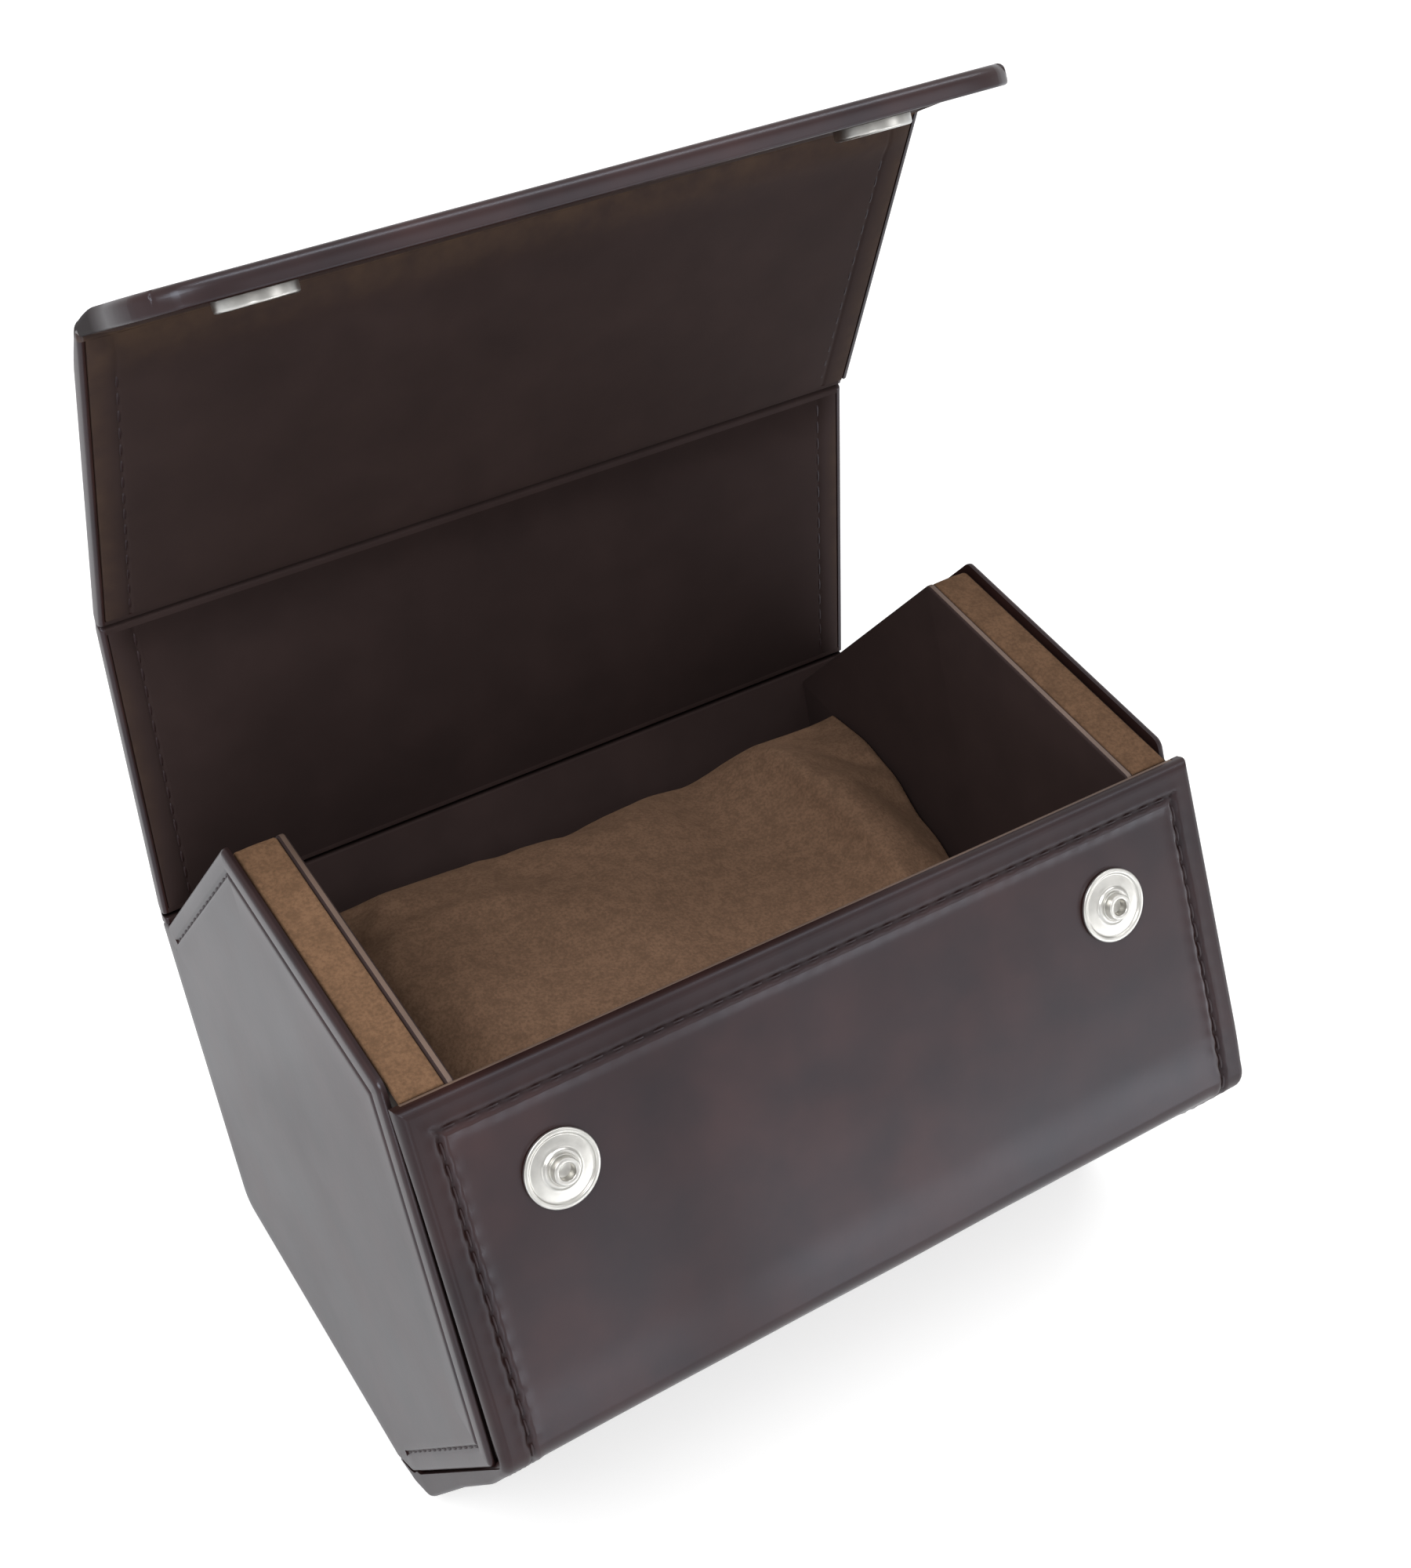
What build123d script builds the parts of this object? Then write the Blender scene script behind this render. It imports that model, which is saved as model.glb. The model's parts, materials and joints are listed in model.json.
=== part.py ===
from build123d import *
from math import cos, radians, sin
import os

# A travel and display box for one watch: a six-sided prism of leather-covered board that lies on
# one flat side. Two thick end blocks carry a stiff wrap of four walls: upper front, lower front,
# base and lower back. The other two sides and a snap flap are one folding lid, hinged by its own
# leather along the back. It is modelled with the lid open. X runs along the box, Y to the back,
# Z up, and the origin is the middle of the underside.

# --- overall form: the six-sided core that the walls wrap ------------------------------------
box_length = 118.0
rim_height = 82.3        # underside to the suede rims of the end blocks
fold_height = 43.0       # the widest level, with the hinge at the back
top_width = 44.6
fold_width = 95.2
base_width = 54.6

# --- sheet thicknesses -----------------------------------------------------------------------
leather = 1.1
board = 1.1
lining = 0.6
wall = leather + board + lining
fold_radius = 4.0        # outside of the folds in the fixed wrap
nose_radius = 8.0        # outside of the fold between the base and the lower front wall
edge_round = 1.0         # leather over the front wall's top edge
turn_in = 1.2            # leather turned over the edges of boards
fold_gap = 2.2           # board left out beside each fold

# --- end blocks ------------------------------------------------------------------------------
block_thickness = 8.6    # outer leather, core and inner facing together
facing = 1.2
rim_suede = 0.8
rim_proud = 0.8          # outer leather above the suede rim
rim_corner = 2.0         # rounding of the outer leather at the front of the rim
rim_groove = 0.5         # dark line between the outer leather and the suede rim
panel_gap = 0.4          # between the outer leather and the front walls beside it
hinge_ease = 1.5         # outer leather kept clear of the hinge
corner_ease = 0.5        # extra radius of the blocks' corners inside the lining

# --- lid -------------------------------------------------------------------------------------
lid_gap = 1.4            # closed lid above the suede rims, clear of the front wall's edge
crease_gap = 1.4         # crease line to the board on either side of it
crease_radius = 1.1      # half thickness of the leather left in a crease
rear_angle = 78.7        # displayed slope of each panel, in degrees from Y towards Z
top_angle = 100.1
flap_angle = 145.0
flap_length = 26.3
flap_corner = 9.0

# --- magnetic snaps --------------------------------------------------------------------------
snap_radius = 5.0
snap_inset = 17.0        # snap axis to the end of the box
snap_drop = 14.6         # snap axis below the front wall's top edge
stud_rim = 0.5
stud_rim_width = 0.7
stud_floor = 0.35
stud_dome = 2.7          # radius of the dome round the post
dome_height = 0.7
post_radius = 1.75
post_bore = 1.1
post_height = 1.8
socket_height = 1.5
socket_edge = 0.4        # rounding of the socket's rim
snap_clearance = 0.3     # stud rim to socket face with the flap closed
hole_clearance = 0.45    # post in the socket's hole, on the radius
shell = 0.35             # sheet metal of the socket
shank_radius = 1.3
washer_radius = 4.0
washer = 0.4
magnet_play = 0.1        # round the magnet in its shell

# --- watch pillow ----------------------------------------------------------------------------
pillow_end_gap = 0.9     # pillow to the end blocks
pillow_rise = 0.3        # pillow above the base lining
pillow_width = 76.0      # at the seam
pillow_seam = 36.0       # height of the seam
pillow_crown = 58.0
pillow_foot_width = 30.0
pillow_foot_inset = 11.0
pillow_side_belly = 5.0
pillow_end_belly = 2.5
pillow_shoulder = 10.0
pillow_round = 11.0
pillow_suede = 1.2
filling_ease = 0.2

half = box_length / 2
board_half = half - turn_in
block_inner = half - block_thickness
snap_gap = stud_rim + snap_clearance + socket_height
lid_mid = lid_gap + wall / 2
fold_inside = fold_radius - wall
nose_inside = nose_radius - wall
socket_hole = post_radius + hole_clearance
reach = 4 * wall         # how far a cutting outline runs past the walls

# Corners of the core in (Y, Z), from the front of the rim to the back and round below. A side
# has the number of the corner where it starts.
core = [
    Vector(-top_width / 2, rim_height),
    Vector(top_width / 2, rim_height),
    Vector(fold_width / 2, fold_height),
    Vector(base_width / 2, wall),
    Vector(-base_width / 2, wall),
    Vector(-fold_width / 2, fold_height),
]
FRONT_TOP, BACK_TOP, BACK_FOLD, BACK_BASE, FRONT_BASE, FRONT_FOLD = range(6)
TOP, REAR, LOWER_BACK, BASE, LOWER_FRONT, FRONT = range(6)


def along(side):
    """Unit direction of a core side, in the order of the corners."""
    return (core[(side + 1) % 6] - core[side]).normalized()


def outward(side):
    """Unit normal of a core side, pointing out of the box."""
    return Vector(-along(side).Y, along(side).X)


def corner(number, before, after):
    """A core corner once the side before it and the side after it are moved outwards."""
    normal_before = outward((number - 1) % 6)
    normal_after = outward(number)
    cosine = normal_before.dot(normal_after)
    shift_before = (before - cosine * after) / (1 - cosine**2)
    shift_after = (after - cosine * before) / (1 - cosine**2)
    return core[number] + normal_before * shift_before + normal_after * shift_after


def outline(top=0.0, rear=0.0, lower_back=0.0, base=0.0, lower_front=0.0, front=0.0):
    """The core's corners with each side moved outwards by its own amount."""
    moved = [top, rear, lower_back, base, lower_front, front]
    return [corner(number, moved[number - 1], moved[number]) for number in range(6)]


def walls(offset):
    """The core's corners with the walls moved outwards and the lid's sides out of the way."""
    return outline(reach, reach, offset, offset, offset, offset)


def direction(angle):
    """Unit vector in (Y, Z) at an angle from Y towards Z."""
    return Vector(cos(radians(angle)), sin(radians(angle)))


def angle_of(vector):
    """Angle of a (Y, Z) vector from Y towards Z, from 0 to 360 degrees."""
    return Vector(1, 0).get_signed_angle(vector, Vector(0, 0, 1)) % 360


# Crease lines. When closed, the middle of the lid's thickness stands lid_mid off the rim, and
# the flap stands off the front wall by the height of a closed snap.
hinge_line = corner(BACK_FOLD, lid_mid, wall / 2)
crease_closed = corner(BACK_TOP, lid_mid, lid_mid)
flap_closed = corner(FRONT_TOP, wall + snap_gap + wall / 2, lid_mid)
rear_length = (crease_closed - hinge_line).length
top_length = (flap_closed - crease_closed).length
down_front = along(FRONT) * -1

crease_line = hinge_line + direction(rear_angle) * rear_length
flap_line = crease_line + direction(top_angle) * top_length

# The lower back wall stops square to itself, just short of the hinge line.
wall_end = hinge_line + along(LOWER_BACK) * crease_gap

def front_top(depth, drop):
    """Point at a depth through the front wall from its inner face, a drop below its square top."""
    return core[FRONT_TOP] + outward(FRONT) * depth + down_front * drop


# Snap axis on the front wall's outer face, and how far that is down the closed flap.
stud_spot = front_top(wall, snap_drop)
socket_along = (stud_spot - flap_closed).dot(down_front)
snap_places = (("left", snap_inset - half), ("right", half - snap_inset))


def section(x):
    """Plane across the box at x, with Y and Z as its own axes."""
    return Plane.YZ.offset(x)


def inward(sign, depth, thickness):
    """Section plane of a slab that starts at a depth below one end face of the box."""
    outer, inner = sign * (half - depth), sign * (half - depth - thickness)
    return section(min(outer, inner))


def shape(points, radii=0.0, mode=Mode.ADD):
    """Add a closed (Y, Z) outline to the sketch being drawn, or cut it away."""
    with BuildLine() as edge:
        FilletPolyline(*[(p.X, p.Y) for p in points], radius=radii, close=True)
    make_face(edge.edges(), mode=mode)


def folds(offset):
    """Corner radii of the wrap's section at an offset from the core, rounded where it folds."""
    fold, nose = fold_inside + offset, nose_inside + offset
    return [0, 0, 0, fold, nose, fold]


def wrap(inner, outer):
    """Section of one layer of the fixed wrap, open from the front of the rim to the hinge."""
    shape(walls(outer), folds(outer))
    shape(walls(inner), folds(inner), mode=Mode.SUBTRACT)
    across = outward(LOWER_BACK) * reach
    sky = 2 * (rim_height + fold_width)
    lid_side = [
        front_top(reach, 0.0),
        front_top(0.0, 0.0),
        Vector(0, rim_height),
        wall_end - across,
        wall_end + across,
        Vector(sky, fold_height),
        Vector(sky, sky),
        Vector(-sky, sky),
    ]
    shape(lid_side, mode=Mode.SUBTRACT)


def save(piece, label):
    """Name a finished piece and write it as its own file."""
    piece.part.label = label
    export_step(piece.part, f"parts/{label}.step")


os.makedirs("parts", exist_ok=True)


# --- end blocks ------------------------------------------------------------------------------
under_suede = outline(top=-rim_suede, rear=-rim_suede)
beside_hinge = core[BACK_FOLD] - along(REAR) * hinge_ease + outward(REAR) * rim_proud

# The outer leather stops inside the two front walls, and laps over the ends of the base and the
# lower back wall, where it is cut short of the hinge.
lapped = outline(rim_proud, rim_proud, wall, wall, -panel_gap, -panel_gap)
outer_leather = [
    lapped[FRONT_TOP],
    lapped[BACK_TOP],
    beside_hinge,
    core[BACK_FOLD],
    wall_end - outward(LOWER_BACK) * (wall / 2),
    wall_end + outward(LOWER_BACK) * (wall / 2),
    lapped[BACK_BASE],
    lapped[FRONT_BASE],
    lapped[FRONT_FOLD],
]
panel_radii = [rim_corner, 0, 0, 0, 0, 0, fold_radius, nose_radius, fold_inside + corner_ease]

for end, sign in (("left", -1), ("right", 1)):
    with BuildPart() as end_leather:
        with BuildSketch(inward(sign, 0, leather)):
            shape(outer_leather, panel_radii)
        extrude(amount=leather)
    save(end_leather, f"{end}_end_leather")

    core_thickness = block_thickness - leather - facing
    with BuildPart() as end_core:
        with BuildSketch(inward(sign, leather, core_thickness)):
            shape(under_suede, folds(corner_ease))
        extrude(amount=core_thickness)
    save(end_core, f"{end}_end_core")

    suede_width = core_thickness - rim_groove
    with BuildPart() as suede_strip:
        with BuildSketch(inward(sign, leather + rim_groove, suede_width)):
            shape(core[:3] + under_suede[2::-1])
        extrude(amount=suede_width)
    save(suede_strip, f"{end}_rim_suede")

    with BuildPart() as inner_facing:
        with BuildSketch(inward(sign, block_thickness - facing, facing)):
            shape(core, folds(corner_ease))
        extrude(amount=facing)
    save(inner_facing, f"{end}_inner_facing")


# --- snap positions --------------------------------------------------------------------------
def wall_face(depth=0.0):
    """Plane on the front wall, a depth below its outer face, centred between the snaps."""
    spot = stud_spot - outward(FRONT) * depth
    normal = outward(FRONT)
    return Plane(origin=(0, spot.X, spot.Y), x_dir=(1, 0, 0), z_dir=(0, normal.X, normal.Y))


def panel_face(line, angle, height):
    """Plane along a lid panel from its crease, a height above the middle of its thickness."""
    inside = Vector(-sin(radians(angle)), cos(radians(angle)))
    spot = line + inside * height
    return Plane(origin=(0, spot.X, spot.Y), x_dir=(1, 0, 0), z_dir=(0, inside.X, inside.Y))


def pierce(face, y, radius, depth):
    """Cut a round hole below a plane at each of the two snap places."""
    with BuildSketch(face) as holes:
        with Locations(*[(x, y) for _, x in snap_places]):
            Circle(radius)
    extrude(holes.sketch, amount=-depth, mode=Mode.SUBTRACT)


# --- fixed wrap ------------------------------------------------------------------------------
with BuildPart() as body_leather:
    with BuildSketch(section(-half)):
        wrap(lining + board, wall)
    extrude(amount=box_length)
    # The leather is turned over the front wall's top edge and down to the lining.
    with BuildSketch(section(-half)):
        shape(
            [
                front_top(lining, 0.0),
                front_top(wall, 0.0),
                front_top(wall, turn_in),
                front_top(lining, turn_in),
            ]
        )
    extrude(amount=box_length)
    # It is turned over both ends of the walls too, down to the lining's face.
    for start in (-half, board_half):
        with BuildSketch(section(start)):
            wrap(0.0, wall)
        extrude(amount=turn_in)
        with BuildSketch(section(start)):
            shape(outline(lower_back=reach, base=reach, rear=reach, top=reach))
        extrude(amount=turn_in, mode=Mode.SUBTRACT)
    fillet(body_leather.edges().filter_by(Axis.X).group_by(Axis.Z)[-1], edge_round)
    pierce(wall_face(), 0, shank_radius, leather)
save(body_leather, "body_leather")

with BuildPart() as body_lining:
    with BuildSketch(section(-board_half)):
        wrap(0.0, lining)
    extrude(amount=2 * board_half)
save(body_lining, "body_lining")


def strip(side, from_start, to_end):
    """Corners of a board's section along a side, trimmed near the folds at its two ends."""
    start = core[side] + along(side) * from_start
    end = core[(side + 1) % 6] - along(side) * to_end
    low, high = outward(side) * lining, outward(side) * (lining + board)
    return [start + low, end + low, end + high, start + high]


hinge_trim = (wall_end - core[BACK_FOLD]).dot(along(LOWER_BACK))
nose_gap = fold_gap * nose_radius / fold_radius
board_sections = {
    "base_board": strip(BASE, fold_gap, nose_gap),
    "lower_front_board": strip(LOWER_FRONT, nose_gap, fold_gap),
    "lower_back_board": strip(LOWER_BACK, hinge_trim, fold_gap),
}
for label, points in board_sections.items():
    with BuildPart() as wall_board:
        with BuildSketch(section(-board_half)):
            shape(points)
        extrude(amount=2 * board_half)
    save(wall_board, label)

with BuildPart() as front_board:
    with BuildSketch(section(-board_half)):
        shape(strip(FRONT, fold_gap, turn_in))
    extrude(amount=2 * board_half)
    pierce(wall_face(leather), 0, shank_radius, board)
    pierce(wall_face(leather + board - washer), 0, washer_radius, washer)
save(front_board, "front_board")


# --- folding lid -----------------------------------------------------------------------------
def crease_strip(line, angle, label):
    """Leather of a crease: held by the panel before it, and rounded about the crease line."""
    across = Vector(cos(radians(angle)), sin(radians(angle)))
    plane = Plane(origin=(-half, line.X, line.Y), x_dir=(0, across.X, across.Y), z_dir=(1, 0, 0))
    with BuildPart() as crease:
        with BuildSketch(plane):
            Rectangle(crease_gap, 2 * crease_radius, align=(Align.MAX, Align.CENTER))
            Circle(crease_radius)
        extrude(amount=box_length)
    save(crease, label)


def panel_outline(length, inset=0.0, rounding=0.0):
    """Plan of a lid panel from beside its crease to a length, drawn in from its free edges."""
    width = box_length - 2 * inset
    with Locations((0, crease_gap)):
        rectangle = Rectangle(width, length - crease_gap, align=(Align.CENTER, Align.MIN))
    if rounding:
        fillet(rectangle.vertices().group_by(Axis.Y)[-1], rounding - inset)


def lid_panel(name, line, angle, length, end_inset=0.0, rounding=0.0, snaps=False):
    """A board in a tray of turned leather, closed by its lining, flush on the inside."""
    bottom = -wall / 2
    low, high = bottom + leather, bottom + leather + board
    with BuildPart() as cover:
        with BuildSketch(panel_face(line, angle, bottom)):
            panel_outline(length, 0.0, rounding)
        extrude(amount=wall)
        with BuildSketch(panel_face(line, angle, low)):
            panel_outline(length - end_inset, turn_in, rounding)
        extrude(amount=board + lining, mode=Mode.SUBTRACT)
    save(cover, f"{name}_leather")

    with BuildPart() as stiffener:
        with BuildSketch(panel_face(line, angle, low)):
            panel_outline(length - end_inset, turn_in, rounding)
        extrude(amount=board)
        if snaps:
            pierce(panel_face(line, angle, high), socket_along, shank_radius, board)
            pierce(panel_face(line, angle, low + washer), socket_along, washer_radius, washer)
    save(stiffener, f"{name}_board")

    with BuildPart() as face:
        with BuildSketch(panel_face(line, angle, high)):
            panel_outline(length - end_inset, turn_in, rounding)
        extrude(amount=lining)
        if snaps:
            pierce(panel_face(line, angle, high + lining), socket_along, shank_radius, lining)
    save(face, f"{name}_lining")


crease_strip(hinge_line, angle_of(along(LOWER_BACK) * -1), "hinge_strip")
lid_panel("lid_rear", hinge_line, rear_angle, rear_length - crease_gap)
crease_strip(crease_line, rear_angle, "lid_crease_strip")
lid_panel("lid_top", crease_line, top_angle, top_length - crease_gap)
crease_strip(flap_line, top_angle, "flap_crease_strip")
lid_panel("flap", flap_line, flap_angle, flap_length, turn_in, flap_corner, snaps=True)


# --- magnetic snaps --------------------------------------------------------------------------
def snap_axis(face, x, y):
    """Axis of a snap that stands on a plane at (x, y) of that plane."""
    return Axis(face.from_local_coords((x, y, 0)), face.z_dir)


def turned(axis, points):
    """A piece of the snap turned about its axis from its section in (radius, height)."""
    radial = Vector(1, 0, 0)
    plane = Plane(origin=axis.position, x_dir=radial, z_dir=radial.cross(axis.direction))
    with BuildPart() as piece:
        with BuildSketch(plane):
            with BuildLine():
                Polyline(*points, close=True)
            make_face()
        revolve(axis=axis)
    return piece


def ring(axis, inner, outer, low, high):
    """A flat ring about a snap's axis."""
    return turned(axis, [(inner, low), (outer, low), (outer, high), (inner, high)])


shank_below = leather + board
for end, x in snap_places:
    axis = snap_axis(wall_face(), x, 0)
    rim_inside = snap_radius - stud_rim_width
    stud = turned(
        axis,
        [
            (0, -shank_below),
            (shank_radius, -shank_below),
            (shank_radius, 0),
            (snap_radius, 0),
            (snap_radius, stud_floor),
            (snap_radius - stud_rim_width / 3, stud_rim),
            (rim_inside + stud_rim_width / 4, stud_rim),
            (rim_inside, stud_floor),
            (stud_dome, stud_floor),
            (stud_dome - dome_height / 3, dome_height * 0.8),
            (post_radius, dome_height),
            (post_radius, post_height - shell / 2),
            (post_radius - shell / 2, post_height),
            (post_bore, post_height),
            (post_bore, stud_floor),
            (0, stud_floor),
        ],
    )
    save(stud, f"{end}_snap_stud")
    save(ring(axis, shank_radius, washer_radius, -shank_below, washer - shank_below), f"{end}_stud_washer")

    axis = snap_axis(panel_face(flap_line, flap_angle, wall / 2), x, socket_along)
    shell_inside = snap_radius - shell
    sleeve = socket_hole + shell
    socket = turned(
        axis,
        [
            (sleeve, shell),
            (sleeve, socket_height - shell),
            (shell_inside, socket_height - shell),
            (shell_inside, 0),
            (snap_radius, 0),
            (snap_radius, socket_height - socket_edge),
            (snap_radius - socket_edge / 3, socket_height - socket_edge / 3),
            (snap_radius - socket_edge, socket_height),
            (socket_hole, socket_height),
            (socket_hole, shell),
        ],
    )
    save(socket, f"{end}_snap_socket")
    magnet_low, magnet_high = shell + magnet_play, socket_height - shell - magnet_play
    magnet = ring(axis, sleeve + magnet_play, shell_inside - magnet_play, magnet_low, magnet_high)
    save(magnet, f"{end}_snap_magnet")

    flap_depth = lining + board
    back = turned(
        axis,
        [
            (0, -flap_depth),
            (shank_radius, -flap_depth),
            (shank_radius, 0),
            (shell_inside, 0),
            (shell_inside, shell),
            (0, shell),
        ],
    )
    save(back, f"{end}_socket_back")
    save(ring(axis, shank_radius, washer_radius, -flap_depth, washer - flap_depth), f"{end}_socket_washer")


# --- watch pillow ----------------------------------------------------------------------------
def pillow(inset):
    """A knife-edge pillow drawn in by an inset: two crossed sections that meet at the seam."""
    foot, crown = wall + pillow_rise + inset, pillow_crown - inset
    side, foot_side = pillow_width / 2 - inset, pillow_foot_width / 2
    end = block_inner - pillow_end_gap - inset
    foot_end = end - pillow_foot_inset
    with BuildSketch(Plane.YZ) as across:
        with BuildLine():
            Line((-foot_side, foot), (foot_side, foot))
            SagittaArc((foot_side, foot), (side, pillow_seam), -pillow_side_belly)
            ThreePointArc((side, pillow_seam), (0, crown), (-side, pillow_seam))
            SagittaArc((-side, pillow_seam), (-foot_side, foot), -pillow_side_belly)
        make_face()
    extrude(across.sketch, amount=half, both=True)
    with BuildSketch(Plane.XZ) as lengthwise:
        with BuildLine():
            Line((-foot_end, foot), (foot_end, foot))
            SagittaArc((foot_end, foot), (end, pillow_seam), -pillow_end_belly)
            FilletPolyline(
                (end, pillow_seam),
                (end - pillow_shoulder, crown),
                (pillow_shoulder - end, crown),
                (-end, pillow_seam),
                radius=pillow_round,
            )
            SagittaArc((-end, pillow_seam), (-foot_end, foot), -pillow_end_belly)
        make_face()
    extrude(lengthwise.sketch, amount=fold_width, both=True, mode=Mode.INTERSECT)


with BuildPart() as hollow:
    pillow(pillow_suede)

for label, kept in (("pillow_top", Keep.TOP), ("pillow_bottom", Keep.BOTTOM)):
    with BuildPart() as suede:
        pillow(0.0)
        add(hollow.part, mode=Mode.SUBTRACT)
        split(bisect_by=Plane.XY.offset(pillow_seam), keep=kept)
    save(suede, label)

with BuildPart() as filling:
    pillow(pillow_suede + filling_ease)
save(filling, "pillow_filling")
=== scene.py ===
"""Looks of a leather travel and display box for one watch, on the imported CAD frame.

Lengths in this script are millimetres until a mesh is made. A section of the box is drawn in
(Y, Z), as in the CAD source, and a sheet is a height above such a line, over X.
"""
import bpy
import bmesh
import json
import math
import numpy as np
from mathutils import Matrix, Vector, noise

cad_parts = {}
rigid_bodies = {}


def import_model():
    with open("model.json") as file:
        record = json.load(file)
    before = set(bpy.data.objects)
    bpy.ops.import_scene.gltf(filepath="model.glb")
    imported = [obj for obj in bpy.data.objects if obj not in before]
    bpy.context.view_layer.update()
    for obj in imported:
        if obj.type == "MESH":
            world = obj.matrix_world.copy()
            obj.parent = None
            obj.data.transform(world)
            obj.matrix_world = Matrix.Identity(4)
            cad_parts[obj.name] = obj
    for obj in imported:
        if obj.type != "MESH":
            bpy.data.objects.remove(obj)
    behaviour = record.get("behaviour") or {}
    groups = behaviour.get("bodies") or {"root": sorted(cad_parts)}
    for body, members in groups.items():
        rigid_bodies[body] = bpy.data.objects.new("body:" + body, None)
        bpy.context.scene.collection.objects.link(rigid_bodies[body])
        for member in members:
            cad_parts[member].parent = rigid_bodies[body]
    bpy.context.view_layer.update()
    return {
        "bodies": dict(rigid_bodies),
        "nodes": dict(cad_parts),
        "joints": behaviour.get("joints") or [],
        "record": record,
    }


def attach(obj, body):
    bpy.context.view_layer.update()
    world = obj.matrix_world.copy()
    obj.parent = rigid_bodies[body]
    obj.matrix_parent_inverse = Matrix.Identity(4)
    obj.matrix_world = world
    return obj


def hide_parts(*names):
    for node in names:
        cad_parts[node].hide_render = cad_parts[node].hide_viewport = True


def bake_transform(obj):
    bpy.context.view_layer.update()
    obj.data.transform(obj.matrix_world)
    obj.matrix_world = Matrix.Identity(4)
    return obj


MM = 0.001

# --- sizes, as in the CAD source ---
HALF = 59.0
RIM, FOLD = 82.3, 43.0
LEATHER, BOARD, LINING = 1.1, 1.1, 0.6
WALL = LEATHER + BOARD + LINING
FOLD_INSIDE, NOSE_INSIDE = 4.0 - WALL, 8.0 - WALL
GAP = 1.4                       # crease line to the panel on either side of it
TURN = 1.2                      # width of the boards' pocket wall
BLOCK = 8.6                     # depth of an end block
LID_GAP, FLAP_GAP = 1.4, 2.3    # from the end blocks to the closed lid, and from the front wall to its flap
REAR_ANGLE, TOP_ANGLE, FLAP_ANGLE = 78.7, 100.1, 145.0
FLAP_LENGTH, FLAP_CORNER = 26.3, 9.0
SNAP_X, SNAP_DROP = 42.0, 14.6

CORE = np.array([(-22.3, RIM), (22.3, RIM), (47.6, FOLD), (27.3, WALL), (-27.3, WALL), (-47.6, FOLD)])
F_, A_, B_, C_, D_, E_ = range(6)
TOP_, REAR_, BACK_, _, LOW_, FRONT_ = range(6)      # sides, each from the corner of its number


def unit(v):
    return np.asarray(v, float) / np.linalg.norm(v)


def along(i):
    return unit(CORE[(i + 1) % 6] - CORE[i])


def right_of(d):
    return np.array([d[1], -d[0]])


def outward(i):
    return -right_of(along(i))


def corner(i, before, after):
    """A core corner with the side before it and the side after it moved outwards."""
    n, m = outward((i - 1) % 6), outward(i)
    c = n @ m
    return CORE[i] + n * (before - c * after) / (1 - c * c) + m * (after - c * before) / (1 - c * c)


def heading(angle):
    return np.array([math.cos(math.radians(angle)), math.sin(math.radians(angle))])


def turn_from(d, e):
    """Angle from one direction to another, above 0 to the left."""
    return math.atan2(d[0] * e[1] - d[1] * e[0], d @ e)


LID_MID = LID_GAP + WALL / 2
HINGE = corner(B_, LID_MID, WALL / 2)
FLAP_CLOSED = corner(F_, WALL + FLAP_GAP + WALL / 2, LID_MID)
REAR_LENGTH = np.linalg.norm(corner(A_, LID_MID, LID_MID) - HINGE)
TOP_LENGTH = np.linalg.norm(FLAP_CLOSED - corner(A_, LID_MID, LID_MID))
CREASE = HINGE + heading(REAR_ANGLE) * REAR_LENGTH
FLAP_LINE = CREASE + heading(TOP_ANGLE) * TOP_LENGTH
WALL_END = HINGE + along(BACK_) * GAP
STUD = CORE[F_] + outward(FRONT_) * WALL - along(FRONT_) * SNAP_DROP
SOCKET_ALONG = float((STUD - FLAP_CLOSED) @ -along(FRONT_))


# --- camera ---
def make_camera():
    """The photo's view."""
    data = bpy.data.cameras.new("camera")
    data.sensor_width, data.lens = 36.0, 52.7125
    data.clip_start, data.clip_end = 0.01, 20
    spot = (-0.1255243, -0.1659885, 0.2934194)
    right = (0.83933, -0.539428, 0.067401)
    down = (-0.342807, -0.621421, -0.704499)
    ahead = (0.421911, 0.568202, -0.706497)
    camera = bpy.data.objects.new("camera", data)
    rows = [(right[i], -down[i], -ahead[i], spot[i]) for i in range(3)]
    camera.matrix_world = Matrix([*rows, (0, 0, 0, 1)])
    link(camera)
    bpy.context.scene.camera = camera


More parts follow.
